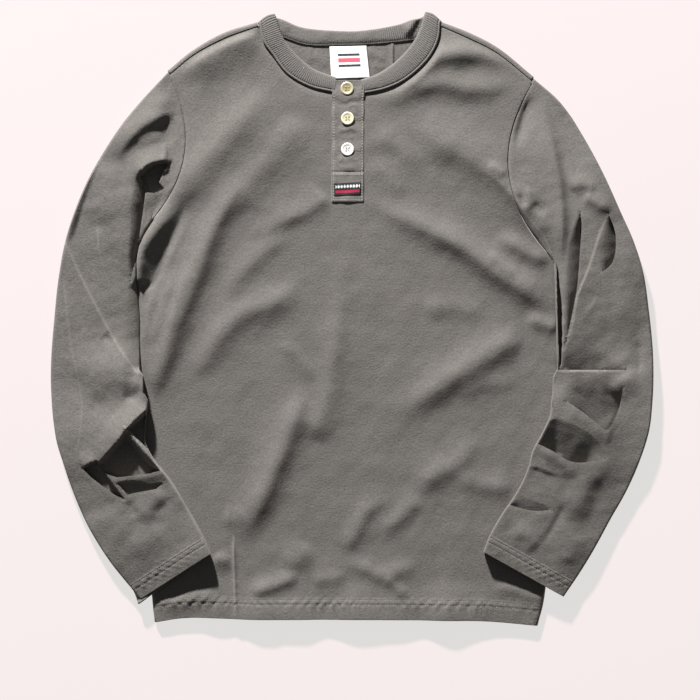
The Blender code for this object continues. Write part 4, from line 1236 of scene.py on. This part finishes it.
def make_neckband():
    """The band's middle surface with a rolled sewn edge; its ribs are knitted in afterwards."""
    rows = spline_at(NECKBAND, np.linspace(0, len(NECKBAND) - 1, 8 * BAND_SECTIONS))
    middle = (rows[:, :2] + rows[:, 2:4]) / 2
    length = np.concatenate([[0], np.cumsum(np.linalg.norm(np.diff(middle, axis=0), axis=1))])
    even = np.linspace(0, length[-1], BAND_SECTIONS)
    rows = np.stack([np.interp(even, length, column) for column in rows.T], axis=1)
    level = np.clip(rows[:, 4:5], 0, 1.5)
    reach = np.linalg.norm(rows[:, 2:4] - rows[:, :2], axis=1)[:, None]
    share = np.array(BAND_ACROSS)[None] / BAND_ACROSS[-1]
    inset = share * reach
    plan = blend(rows[:, None, 0:2], rows[:, None, 2:4], share[..., None])
    for turn in BAND_TURNS:
        closeness = bump_at(even - length[round(turn / (len(NECKBAND) - 1) * (len(length) - 1))], BAND_TURN_RUN)
        plan[..., 1] += BAND_TURN_BULGE * closeness[:, None] * np.sin(math.pi * share)
    front = smooth_step((level - 0.5) / 0.5)
    crown = BAND_CROWN * np.sin(math.pi * share) ** 0.8
    bead = sum(high * bump_at(inset - place, wide) for high, place, wide in BAND_BEAD)
    roll = BAND_ROLL[0] * (1 - round_over((reach - inset) / BAND_ROLL[1]))
    height = blend(BAND_BACK, BAND_FRONT, level) + (crown - roll) * blend(BAND_FLAT, 1, front) + bead * front
    height += fold_heights(plan.reshape(-1, 2), BAND_FOLDS).reshape(height.shape) * (1 - front)
    height -= BAND_SINK[0] * (1 - front) * (1 - smooth_step(inset / BAND_SINK[1]))
    way = np.broadcast_to(even[:, None], inset.shape)
    weave = np.dstack([way, inset]).reshape(-1, 2)
    points = np.dstack([plan, height]).reshape(-1, 3)
    band = add_mesh("neck_rib", points, grid_faces(*inset.shape, flip=True), "rib", 0.0, weave)
    ribbed = smooth_step((inset - RIBS_FROM) / RIB_FADE[0]) * smooth_step((reach - inset) / RIB_FADE[1])
    give_points(band.data, "around", way.ravel())
    give_points(band.data, "ribbed", ribbed.ravel())
    run_tree(band, rib_tree(), {"Rib Pitch": RIB_PITCH, "Rib Height": RIB_HEIGHT * MM, "Finish": MATERIALS["rib"]})
    add_wall(band, BAND_WALL)
    return band


def placket_level(plan):
    """Middle surface of the outer placket strip."""
    x, y = plan[:, 0], plan[:, 1]
    centre = np.interp(y, [PLACKET_FOOT[1], PLACKET_TOP[1]], [PLACKET_FOOT[0], PLACKET_TOP[0]])
    edge = PLACKET_WIDTH / 2 - np.abs(x - centre)
    foot = y - PLACKET_FOOT[1]
    level = front_height(plan) + PLACKET_LIFT + BAND_LIFT * smooth_step((y - BAND_CLEAR_Y + BAND_CLIMB) / BAND_CLIMB)
    level += BOX_STEP[0] * smooth_step((BOX_TOP_Y - y) / BOX_STEP[1])
    level -= BOX_GROOVE[0] * bump_at(y - BOX_TOP_Y - BOX_GROOVE[1], BOX_GROOVE[2])
    level -= EDGE_TURN[0] * (1 - round_over(edge / EDGE_TURN[1])) * smooth_step((BAND_CLEAR_Y - y) / EDGE_TURN_TOP)
    level -= FOOT_TURN[0] * (1 - round_over(foot / FOOT_TURN[1]))
    level -= EDGE_GROOVE[0] * bump_at(edge - EDGE_ROW, EDGE_GROOVE[1])
    off_ends = smooth_step((edge - FOOT_ENDS[0]) / FOOT_ENDS[1])
    level -= FOOT_GROOVE[0] * bump_at(foot - FOOT_ROW, FOOT_GROOVE[1]) * off_ends
    level += ripples(plan, PLACKET_RIPPLES)
    return level + fold_heights(plan, PLACKET_FOLDS) * smooth_step((edge - PLACKET_CALM[0]) / PLACKET_CALM[1])


def make_placket_strip(name, width, foot_y, level):
    """A strip of the placket, from its top down to foot_y, lying at a level."""
    columns = round(PLACKET_WIDTH / PLACKET_STEP) + 1
    rows = round((PLACKET_TOP[1] - PLACKET_FOOT[1]) / PLACKET_STEP) + 1
    centre = blend(np.array(PLACKET_TOP), np.array([PLACKET_FOOT[0], foot_y]), np.linspace(0, 1, rows)[:, None])
    offset = np.linspace(-width / 2, width / 2, columns)
    plan = np.dstack(np.broadcast_arrays(centre[:, :1] + offset, centre[:, 1:])).reshape(-1, 2)
    faces = grid_faces(rows, columns, flip=True)
    return add_mesh(name, np.column_stack([plan, level(plan)]), faces, "strip", PLACKET_WALL, plan)


def make_button(name, x, y, finish):
    """A turned disc with a raised rim and four holes. Returns it and the level that it lies on."""
    floor = float(placket_level(np.array([[x, y]]))[0]) + PLACKET_WALL / 2
    rings = [row for row in BUTTON_PROFILE if row[0] > 0]
    points = [(x, y, floor + BUTTON_PROFILE[0][1]), (x, y, floor)]
    for share, height in rings:
        radius = BUTTON_RADIUS * share
        points += [(x + radius * c, y + radius * s, floor + height) for c, s in unit_circle(BUTTON_SIDES)]
    faces = []
    last = 2 + (len(rings) - 1) * BUTTON_SIDES
    for k in range(BUTTON_SIDES):
        after = (k + 1) % BUTTON_SIDES
        faces += [(0, 2 + k, 2 + after), (1, last + after, last + k)]
        for a in range(2, last, BUTTON_SIDES):
            faces.append((a + k, a + BUTTON_SIDES + k, a + BUTTON_SIDES + after, a + after))
    button = add_mesh(name + "_disc", points, faces, finish)
    drills = [add_drill(x + dx * BUTTON_HOLE_APART, y + dy * BUTTON_HOLE_APART, floor)
              for dx in (-1, 1) for dy in (-1, 1)]
    for drill in drills:
        cut = button.modifiers.new("hole", "BOOLEAN")
        cut.operation, cut.solver, cut.object = "DIFFERENCE", "EXACT", drill
    bake_modifiers(button)
    for drill in drills:
        bpy.data.objects.remove(drill, do_unlink=True)
    button.data.shade_smooth()
    edge = button.modifiers.new("edge", "BEVEL")
    width, edge.segments, angle = BUTTON_BEVEL
    edge.width, edge.limit_method, edge.angle_limit = width * MM, "ANGLE", math.radians(angle)
    radius = [math.hypot(v.co.x / MM - x, v.co.y / MM - y) / BUTTON_RADIUS for v in button.data.vertices]
    give_points(button.data, "rim", smooth_step((np.array(radius) - BUTTON_RIM[0]) / BUTTON_RIM[1]))
    return button, floor


def unit_circle(sides):
    return [(math.cos(2 * math.pi * k / sides), math.sin(2 * math.pi * k / sides)) for k in range(sides)]


def add_drill(x, y, floor):
    """A round cutter for a button's hole."""
    sides = BUTTON_HOLE_SIDES
    points = [(x + BUTTON_HOLE_RADIUS * c, y + BUTTON_HOLE_RADIUS * s, floor + z)
              for z in BUTTON_HOLE_REACH for c, s in unit_circle(sides)]
    faces = [(k, (k + 1) % sides, sides + (k + 1) % sides, sides + k) for k in range(sides)]
    faces += [tuple(range(sides))[::-1], tuple(range(sides, 2 * sides))]
    return add_mesh("drill", points, faces, "pearl")


def bake_modifiers(thing):
    """Turns what the modifiers make into the object's own mesh."""
    graph = bpy.context.evaluated_depsgraph_get()
    mesh = bpy.data.meshes.new_from_object(thing.evaluated_get(graph), depsgraph=graph)
    thing.modifiers.clear()
    old, thing.data = thing.data, mesh
    mesh.name = thing.name
    bpy.data.meshes.remove(old)


def run_tree(thing, tree, values):
    """Runs a geometry tree on an object and keeps the result as its plain mesh."""
    modifier = thing.modifiers.new("tree", "NODES")
    modifier.node_group = tree
    for item in tree.interface.items_tree:
        if item.item_type == "SOCKET" and item.in_out == "INPUT" and item.name in values:
            modifier[item.identifier] = values[item.name]
    bake_modifiers(thing)


class Tree:
    """A node tree under construction. A value given to a node is a constant, or another node's socket."""

    def __init__(self, tree):
        self.tree = tree

    def add(self, kind, values=(), **settings):
        node = self.tree.nodes.new(kind)
        for key, value in settings.items():
            setattr(node, key, value)
        for key, value in dict(values).items():
            if isinstance(value, bpy.types.NodeSocket):
                self.tree.links.new(value, node.inputs[key])
            else:
                node.inputs[key].default_value = value
        return node

    def math(self, operation, *values):
        node = self.add("ShaderNodeMath", dict(enumerate(values)), operation=operation)
        return node.outputs[0]


def new_tree(name, inputs):
    """A geometry tree with named inputs, and its group input node's sockets."""
    tree = bpy.data.node_groups.new(name, "GeometryNodeTree")
    tree.interface.new_socket("Geometry", in_out="INPUT", socket_type="NodeSocketGeometry")
    for key, value in inputs.items():
        kind = {float: "NodeSocketFloat", int: "NodeSocketInt"}.get(type(value), "NodeSocketMaterial")
        tree.interface.new_socket(key, in_out="INPUT", socket_type=kind).default_value = value
    tree.interface.new_socket("Geometry", in_out="OUTPUT", socket_type="NodeSocketGeometry")
    build = Tree(tree)
    return build, build.add("NodeGroupInput").outputs


def end_tree(build, geometry, finish):
    real = build.add("GeometryNodeRealizeInstances", {0: geometry})
    done = build.add("GeometryNodeSetMaterial", {"Geometry": real.outputs[0], "Material": finish})
    build.add("NodeGroupOutput", {0: done.outputs[0]})
    return build.tree


def rib_tree():
    """Ribs across a band: every point moves along its normal by a wave of its distance round the band."""
    build, given = new_tree("knit_ribs", {"Rib Pitch": 2.2, "Rib Height": 0.0003, "Finish": None})
    around = build.add("GeometryNodeInputNamedAttribute", {"Name": "around"}, data_type="FLOAT").outputs[0]
    ribbed = build.add("GeometryNodeInputNamedAttribute", {"Name": "ribbed"}, data_type="FLOAT").outputs[0]
    turns = build.math("DIVIDE", around, given["Rib Pitch"])
    wave = build.math("COSINE", build.math("MULTIPLY", turns, 2 * math.pi))
    rise = build.math("MULTIPLY", build.math("MULTIPLY", wave, ribbed), given["Rib Height"])
    normal = build.add("GeometryNodeInputNormal").outputs[0]
    shift = build.add("ShaderNodeVectorMath", {0: normal, "Scale": rise}, operation="SCALE").outputs[0]
    moved = build.add("GeometryNodeSetPosition", {"Geometry": given["Geometry"], "Offset": shift})
    return end_tree(build, moved.outputs[0], given["Finish"])


def stitch_tree():
    """Stitches along paths: one small bead of thread for each pitch, lying along the path or across it."""
    build, given = new_tree(
        "stitches",
        {"Pitch": 0.003, "Stitch Length": 0.002, "Thread Size": 0.0005, "Quarter Turns": 0.0, "Unevenness": 0.12,
         "Seed": 1, "Finish": None},
    )
    path = build.add("GeometryNodeMeshToCurve", {"Mesh": given["Geometry"]}).outputs[0]
    even = build.add("GeometryNodeResampleCurve", {"Curve": path, "Length": given["Pitch"]}, mode="LENGTH")
    tangent = build.add("GeometryNodeInputTangent").outputs[0]
    aim = build.add("FunctionNodeAlignRotationToVector", {"Vector": tangent}, axis="X").outputs[0]
    turn = build.math("MULTIPLY", given["Quarter Turns"], math.pi / 2)
    spin = build.add("ShaderNodeCombineXYZ", {"Z": turn}).outputs[0]
    turned = build.add("FunctionNodeRotateRotation", {"Rotation": aim, "Rotate By": spin}, rotation_space="LOCAL")
    bead = build.add("GeometryNodeMeshUVSphere", {"Segments": 7, "Rings": 5, "Radius": 0.5}).outputs[0]
    bead = build.add("GeometryNodeSetShadeSmooth", {"Geometry": bead}).outputs[0]
    vary = build.add("FunctionNodeRandomValue", {"Seed": given["Seed"]}, data_type="FLOAT")
    vary.inputs[2].default_value, vary.inputs[3].default_value = -1.0, 1.0
    swell = build.math("ADD", build.math("MULTIPLY", vary.outputs[1], given["Unevenness"]), 1.0)
    length = build.math("MULTIPLY", given["Stitch Length"], swell)
    size = build.add("ShaderNodeCombineXYZ", {"X": length, "Y": given["Thread Size"], "Z": given["Thread Size"]})
    placed = build.add(
        "GeometryNodeInstanceOnPoints",
        {"Points": even.outputs[0], "Instance": bead, "Rotation": turned.outputs[0], "Scale": size.outputs[0]},
    )
    return end_tree(build, placed.outputs[0], given["Finish"])


def make_stitches(name, paths, pitch, length, thread, quarter_turns=0.0, finish="thread"):
    """Stitches along millimetre paths of xyz points."""
    points, edges = [], []
    for path in paths:
        start = len(points)
        points += [tuple(MM * float(c) for c in p) for p in path]
        edges += [(start + k, start + k + 1) for k in range(len(path) - 1)]
    mesh = bpy.data.meshes.new(name)
    mesh.from_pydata(points, edges, [])
    thing = new_object(name, mesh)
    values = {"Pitch": pitch * MM, "Stitch Length": length * MM, "Thread Size": thread * MM,
              "Quarter Turns": quarter_turns, "Finish": MATERIALS[finish]}
    run_tree(thing, STITCHES, values)
    thing.data.shade_smooth()
    return thing


def on_front(plan, proud=THREAD_PROUD):
    """Points on the front panel's outer face."""
    return np.column_stack([plan, front_height(plan) - seam_sink(plan) + JERSEY / 2 + proud])


def on_placket(plan, proud=THREAD_PROUD):
    return np.column_stack([plan, placket_level(plan) + PLACKET_WALL / 2 + proud])


def hem_rows():
    step, ends = HEM_THREAD
    path = curve(HEM, step)
    return [on_front((path + left_normals(path) * row)[ends:-ends]) for row in HEM_ROWS]


def cuff_rows(side):
    """Stitch rows round a cuff, on its outer face."""
    last = len(SLEEVES[side]) - 1
    reach, sections = CUFF_THREAD
    upper, lower, along, _ = sleeve_walls(side, np.linspace(last - reach, last, sections))
    columns, paths = np.arange(upper.shape[1]), []
    for row in CUFF_ROWS:
        pick = np.argmin(np.abs(along - row), axis=0)
        for wall, rise in ((upper, JERSEY / 2 + THREAD_PROUD), (lower, CUFF_THREAD_SINK - JERSEY / 2)):
            paths.append((wall[pick, columns] + np.array([0, 0, rise]))[2:-2])
    return paths


def placket_rows():
    """Edge stitching of the placket: both long edges, the box at its foot, and the row under its top step."""
    below_top, lean, step = PLACKET_THREAD
    half = PLACKET_WIDTH / 2 - EDGE_ROW
    left, right = PLACKET_FOOT[0] - half, PLACKET_FOOT[0] + half
    foot, box, top = PLACKET_FOOT[1] + FOOT_ROW, BOX_TOP_Y - BOX_ROW, PLACKET_TOP[1] - below_top
    runs = [((x + lean, top), (x, foot)) for x in (left, right)] + [((left, y), (right, y)) for y in (foot, box)]
    return [on_placket(curve_corners(run, step)) for run in runs]


def make_label(name, corners, level, finish, bow=0.0):
    """A woven label between four corners, with turned edges. bow is how far its lower end stands up."""
    a, b, c, d = (np.array(p, float) for p in corners)
    columns, rows = LABEL_GRID
    v, u = np.meshgrid(np.linspace(0, 1, rows), np.linspace(0, 1, columns), indexing="ij")
    plan = blend(blend(a, b, u[..., None]), blend(d, c, u[..., None]), v[..., None])
    width, length = np.linalg.norm(b - a), np.linalg.norm(d - a)
    edge = np.minimum(np.minimum(u, 1 - u) * width, np.minimum(v, 1 - v) * length)
    height = level(plan.reshape(-1, 2)).reshape(u.shape) + bow * np.sin(math.pi * u) * v
    height -= LABEL_TURN[0] * (1 - round_over(edge / LABEL_TURN[1]))
    weave = np.dstack([u * width, v * length]).reshape(-1, 2)
    points = np.dstack([plan, height]).reshape(-1, 3)
    return add_mesh(name, points, grid_faces(rows, columns, flip=True), finish, LABEL_WALL, weave)


class Finish(Tree):
    """A material under construction. A number that is the same all over sits on the shader's own socket."""

    def __init__(self, name, roughness, **constants):
        self.material = bpy.data.materials.new(name)
        self.material.use_nodes = True
        super().__init__(self.material.node_tree)
        self.surface = self.tree.nodes["Principled BSDF"]
        for key, value in {"Roughness": roughness, **constants}.items():
            self.surface.inputs[key.replace("_", " ")].default_value = value

    def mix(self, factor, a, b):
        return self.add("ShaderNodeMix", {0: factor, 6: a, 7: b}, data_type="RGBA", clamp_factor=True).outputs[2]

    def noise(self, scale, detail, roughness):
        where = self.add("ShaderNodeTexCoord").outputs["Object"]
        values = {"Vector": where, "Scale": scale, "Detail": detail, "Roughness": roughness}
        return self.add("ShaderNodeTexNoise", values).outputs["Fac"]

    def attribute(self, name):
        return self.add("ShaderNodeAttribute", attribute_name=name).outputs["Fac"]

    def weave(self):
        """Place along the cloth in metres, as two sockets."""
        place = self.add("ShaderNodeUVMap", uv_map="weave").outputs[0]
        parts = self.add("ShaderNodeSeparateXYZ", {0: place}).outputs
        return parts[0], parts[1]

    def ridges(self, place, pitch):
        """Threads across the cloth, a wave of a place along it."""
        return self.math("SINE", self.math("MULTIPLY", place, 2 * math.pi / pitch))

    def between(self, place, low, high):
        """1 where a place along the cloth lies between two others."""
        return self.math("MULTIPLY", self.math("GREATER_THAN", place, low), self.math("LESS_THAN", place, high))

    def done(self, colour, bumps=()):
        """Sets the colour and a chain of bumps, each a height socket, a strength and a distance in metres."""
        self.tree.links.new(colour, self.surface.inputs["Base Color"])
        for height, strength, distance in bumps:
            bump = self.add("ShaderNodeBump", {"Height": height, "Strength": strength, "Distance": distance})
            for link in self.surface.inputs["Normal"].links:
                self.tree.links.new(link.from_socket, bump.inputs["Normal"])
            self.tree.links.new(bump.outputs[0], self.surface.inputs["Normal"])
        return self.material


def tint(colour, factor=1.0):
    return (*(min(1.0, c * factor) for c in colour), 1.0)


def knit(name, colour, wale, course, grain, sheen):
    """Jersey: columns of V stitches, a fine mottle of the mixed yarn and a soft bloom. wale and course are the
    stitch's width and height, and grain how much its colour varies."""
    build = Finish(name, 0.88, Sheen_Weight=sheen, Sheen_Roughness=0.45, Sheen_Tint=(0.9, 0.88, 0.85, 1.0),
                   Specular_IOR_Level=0.22)
    u, v = build.weave()
    column = build.math("PINGPONG", build.math("DIVIDE", u, wale * MM), 0.5)
    slope = build.math("MULTIPLY", column, 2.0)
    row = build.math("ADD", build.math("DIVIDE", v, course * MM), build.math("MULTIPLY", slope, 0.45))
    loop = build.math("MULTIPLY_ADD", build.math("SINE", build.math("MULTIPLY", row, 2 * math.pi)), 0.5, 0.5)
    rounded = build.math("SUBTRACT", 1.0, build.math("POWER", build.math("SUBTRACT", 1.0, slope), 2.0))
    stitch = build.math("MULTIPLY", rounded, build.math("MULTIPLY_ADD", loop, 0.45, 0.55))
    speck, yarn, cloud = build.noise(*SPECK), build.noise(*YARN), build.noise(*CLOUD)
    base = build.mix(speck, tint(colour, 1 - grain), tint(colour, 1 + grain))
    base = build.mix(build.math("MULTIPLY", yarn, 0.9), base, tint(colour, 0.86))
    base = build.mix(build.math("MULTIPLY", cloud, 0.35), base, tint(colour, 1.16))
    # lighter along the worn creases, and along the caught edges as a painted highlight
    base = build.mix(build.attribute("worn_and_highlit"), base, tint(colour, WEAR_AND_HIGHLIGHT_TINT))
    # the colour is painted darker in each stitch's hollows, between the columns and between the loops: painted shade
    # of the knit's relief
    depth = build.add("ShaderNodeMapRange", {"Value": stitch, "From Max": 0.6, "To Min": 0.9, "To Max": 1.06})
    shaded = build.add("ShaderNodeVectorMath", {0: base, "Scale": depth.outputs[0]}, operation="SCALE")
    bumps = ((cloud, 0.25, 0.0016), (yarn, 0.30, 0.00055), (speck, 0.8, 0.0006), (stitch, 0.35, 0.00022))
    return build.done(shaded.outputs[0], bumps)


def make_thread(name, colour):
    """Twisted sewing thread."""
    build = Finish(name, 0.62, Sheen_Weight=0.15, Specular_IOR_Level=0.35)
    where = build.add("ShaderNodeTexCoord").outputs["Object"]
    twist = build.add("ShaderNodeTexWave", {"Vector": where, "Scale": 900.0, "Distortion": 1.5}, wave_type="BANDS",
                      bands_direction="DIAGONAL").outputs["Fac"]
    return build.done(build.mix(twist, tint(colour, 0.8), tint(colour, 1.15)), ((twist, 0.4, 0.0002),))


def make_button_finish(name, rim, centre, metallic, roughness, coat):
    """A button whose middle is darker than its rim, with a faint cloudiness and fine pits."""
    build = Finish(name, roughness, Metallic=metallic, Coat_Weight=coat, Coat_Roughness=0.15)
    cloud, pits = build.noise(420.0, 4.0, 0.6), build.noise(1500.0, 2.0, 0.5)
    # the rim's lighter colour is partly the button's own and partly a painted highlight on the raised rim
    base = build.mix(build.attribute("rim"), tint(centre), tint(rim))
    base = build.mix(build.math("MULTIPLY", cloud, 0.3), base, tint(centre, 0.8))
    return build.done(base, ((cloud, 0.15, 0.0002), (pits, 0.12, 0.0001)))


def make_neck_label_finish():
    """White satin tape with three short plain bars."""
    white, dark, red = (0.84, 0.84, 0.83), (0.035, 0.036, 0.04), (0.62, 0.10, 0.14)
    tape_length, bar_start, bar_end, down_pitch, across_pitch = 0.0362, 0.0085, 0.0325, 0.0006, 0.0005
    build = Finish("label_white", 0.55, Sheen_Weight=0.2, Specular_IOR_Level=0.3)
    u, v = build.weave()
    bars = build.add("ShaderNodeValToRGB", {"Fac": build.math("DIVIDE", v, tape_length)})
    bars.color_ramp.interpolation = "CONSTANT"
    for place, colour in ((0.22, dark), (0.30, white), (0.36, red), (0.50, white), (0.56, dark), (0.64, white)):
        bars.color_ramp.elements.new(place).color = tint(colour)
    bars.color_ramp.elements[0].color = bars.color_ramp.elements[-1].color = tint(white)
    base = build.mix(build.between(u, bar_start, bar_end), tint(white), bars.outputs[0])
    woven = build.math("MULTIPLY", build.ridges(v, down_pitch), build.ridges(u, across_pitch))
    return build.done(base, ((woven, 0.25, 0.0001),))


def make_placket_label_finish():
    """Black tape with a row of white diamonds over a red stripe."""
    black, white, red = (0.012, 0.012, 0.014), (0.80, 0.80, 0.78), (0.36, 0.012, 0.045)
    diamond_pitch, diamond_row, diamond_height, diamond_size = 0.0034, 0.0042, 0.0050, 0.46
    build = Finish("label_black", 0.6, Sheen_Weight=0.15, Specular_IOR_Level=0.3)
    u, v = build.weave()
    beside = build.math("SUBTRACT", build.math("FRACT", build.math("DIVIDE", u, diamond_pitch)), 0.5)
    above = build.math("DIVIDE", build.math("SUBTRACT", v, diamond_row), diamond_height)
    away = build.math("ADD", build.math("ABSOLUTE", beside), build.math("ABSOLUTE", above))
    diamond = build.math("LESS_THAN", away, diamond_size)
    printed, stripe = build.between(u, 0.0017, 0.0289), build.between(v, 0.0082, 0.0112)
    base = build.mix(build.math("MULTIPLY", diamond, printed), tint(black), tint(white))
    base = build.mix(build.math("MULTIPLY", stripe, printed), base, tint(red))
    return build.done(base, ((build.ridges(v, 0.0005), 0.3, 0.0001),))


def make_floor_finish():
    """A pale floor that stays light in the shirt's shadow."""
    build = Finish("pale_floor", 0.9, Specular_IOR_Level=0.1, Emission_Color=FLOOR_GLOW,
                   Emission_Strength=FLOOR_GLOW_STRENGTH)
    return build.done(build.mix(build.noise(3.0, 2.0, 0.5), *FLOOR_COLOURS))


def make_light():
    """A window's light from low above the collar, and a dim even sky."""
    world = bpy.data.worlds.new("studio")
    bpy.context.scene.world = world
    world.use_nodes = True
    sky = world.node_tree.nodes["Background"].inputs
    sky["Color"].default_value, sky["Strength"].default_value = (1.0, 1.0, 1.0, 1.0), SKY
    lamp = bpy.data.lights.new("window", "AREA")
    lamp.shape, lamp.size, lamp.energy = "DISK", LAMP_SIZE, LAMP
    rise = math.radians(LAMP_RISE)
    heading = np.array(LAMP_FROM) / np.linalg.norm(LAMP_FROM)
    toward = Vector((*(heading * math.cos(rise)), math.sin(rise)))
    window = new_object("window", lamp)
    window.location = toward * LAMP_DISTANCE
    window.rotation_euler = toward.to_track_quat("Z", "Y").to_euler()


def make_camera():
    data = bpy.data.cameras.new("above")
    data.sensor_width = 36.0
    data.lens = data.sensor_width * CAMERA_HEIGHT / FIELD
    data.clip_end = 20.0
    camera = new_object("above", data)
    camera.location = (*(MM * c for c in FIELD_CENTRE), CAMERA_HEIGHT)
    bpy.context.scene.camera = camera


def make_floor():
    mesh = bpy.data.meshes.new("floor")
    corners = [(x * FLOOR_HALF, y * FLOOR_HALF, FLOOR_LEVEL) for x, y in ((-1, -1), (1, -1), (1, 1), (-1, 1))]
    mesh.from_pydata(corners, [], [(0, 1, 2, 3)])
    mesh.materials.append(make_floor_finish())
    new_object("floor", mesh)


bpy.context.scene.view_settings.view_transform = "Standard"
make_light()
make_camera()
make_floor()

MATERIALS = {
    "jersey": knit("jersey", GREY, wale=1.15, course=0.95, grain=1.0, sheen=0.10),
    "rib": knit("rib", GREY_RIB, wale=1.1, course=0.9, grain=0.38, sheen=0.12),
    "thread": make_thread("thread", THREAD),
    "pale_thread": make_thread("pale_thread", PALE_THREAD),
    "strip": knit("strip", STRIP_GREY, wale=1.15, course=0.95, grain=1.0, sheen=0.10),
    "neck_label": make_neck_label_finish(),
    "placket_label": make_placket_label_finish(),
}
for name, rim, centre, metallic, roughness, coat in BUTTON_FINISHES:
    MATERIALS[name] = make_button_finish(name, rim, centre, metallic, roughness, coat)
STITCHES = stitch_tree()

front = make_front_panel()
back = make_back_panel()
sleeve_right = make_sleeve("right_sleeve_cloth", -1)
sleeve_left = make_sleeve("left_sleeve_cloth", 1)
band = make_neckband()
placket_front = make_placket_strip("placket_front", PLACKET_WIDTH, PLACKET_FOOT[1], placket_level)
placket_under = make_placket_strip(
    "placket_under", INNER_WIDTH, SLIT_FOOT_Y + SEAM_GAP, lambda plan: front_height(plan) - INNER_SINK
)
neck_tape = make_label(
    "neck_tape", NECK_LABEL, lambda plan: np.full(len(plan), JERSEY + LABEL / 2 + LABEL_BOW), "neck_label", LABEL_BOW
)
small_tape = make_label(
    "placket_tape", PLACKET_LABEL, lambda plan: on_placket(plan, LABEL / 2 + 0.1)[:, 2], "placket_label"
)

hem_thread = make_stitches("hem_stitches", hem_rows(), pitch=3.0, length=2.3, thread=0.6)
cuff_threads = {
    side: make_stitches(name, cuff_rows(side), pitch=3.0, length=2.3, thread=0.6)
    for side, name in ((-1, "right_cuff_stitches"), (1, "left_cuff_stitches"))
}
placket_thread = make_stitches(
    "placket_stitches", placket_rows(), pitch=3.1, length=1.3, thread=0.95, finish="pale_thread"
)

discs, through, slits = {}, [], []
for name, x, y, finish in BUTTONS:
    discs[name], floor = make_button(name, x, y, finish)
    top, apart, (start, end, beside) = floor + BUTTON_PROFILE[0][1] + BUTTON_THREAD[0], BUTTON_HOLE_APART, BUTTONHOLE
    for way in (-1, 1):
        through.append([(x + way * apart, y - apart, top),
                        (x - way * apart, y + apart, top + BUTTON_THREAD[1] * (way > 0))])
        slit = curve_corners([(x + along, y + way * beside) for along in (start, end)], SLIT_THREAD[0])
        slits.append(on_placket(slit, SLIT_THREAD[1]))
button_thread = make_stitches("button_threads", through, pitch=2.2, length=3.2, thread=0.75, finish="pale_thread")
hole_thread = make_stitches("buttonhole_stitches", slits, pitch=0.7, length=1.6, thread=0.5, quarter_turns=1.0)

# What each piece rides on and stands for, and a finish name for it that nothing reads
for piece, node, slot in (
    (front, "front_panel", "jersey"),
    (back, "back_panel", "jersey"),
    (sleeve_right, "sleeve_right", "jersey"),
    (sleeve_left, "sleeve_left", "jersey"),
    (band, "neckband", "rib"),
    (placket_front, "placket_outer", "jersey"),
    (placket_under, "placket_inner", "jersey"),
    (neck_tape, "neck_label", "label_white"),
    (small_tape, "placket_label", "label_black"),
    (discs["button_top"], "button_top", "brass_button"),
    (discs["button_middle"], "button_middle", "brass_button"),
    (discs["button_bottom"], "button_bottom", "pale_button"),
):
    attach(piece, "root")
    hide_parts(node)

for piece in (hem_thread, *cuff_threads.values(), placket_thread, button_thread, hole_thread):
    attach(piece, "root")
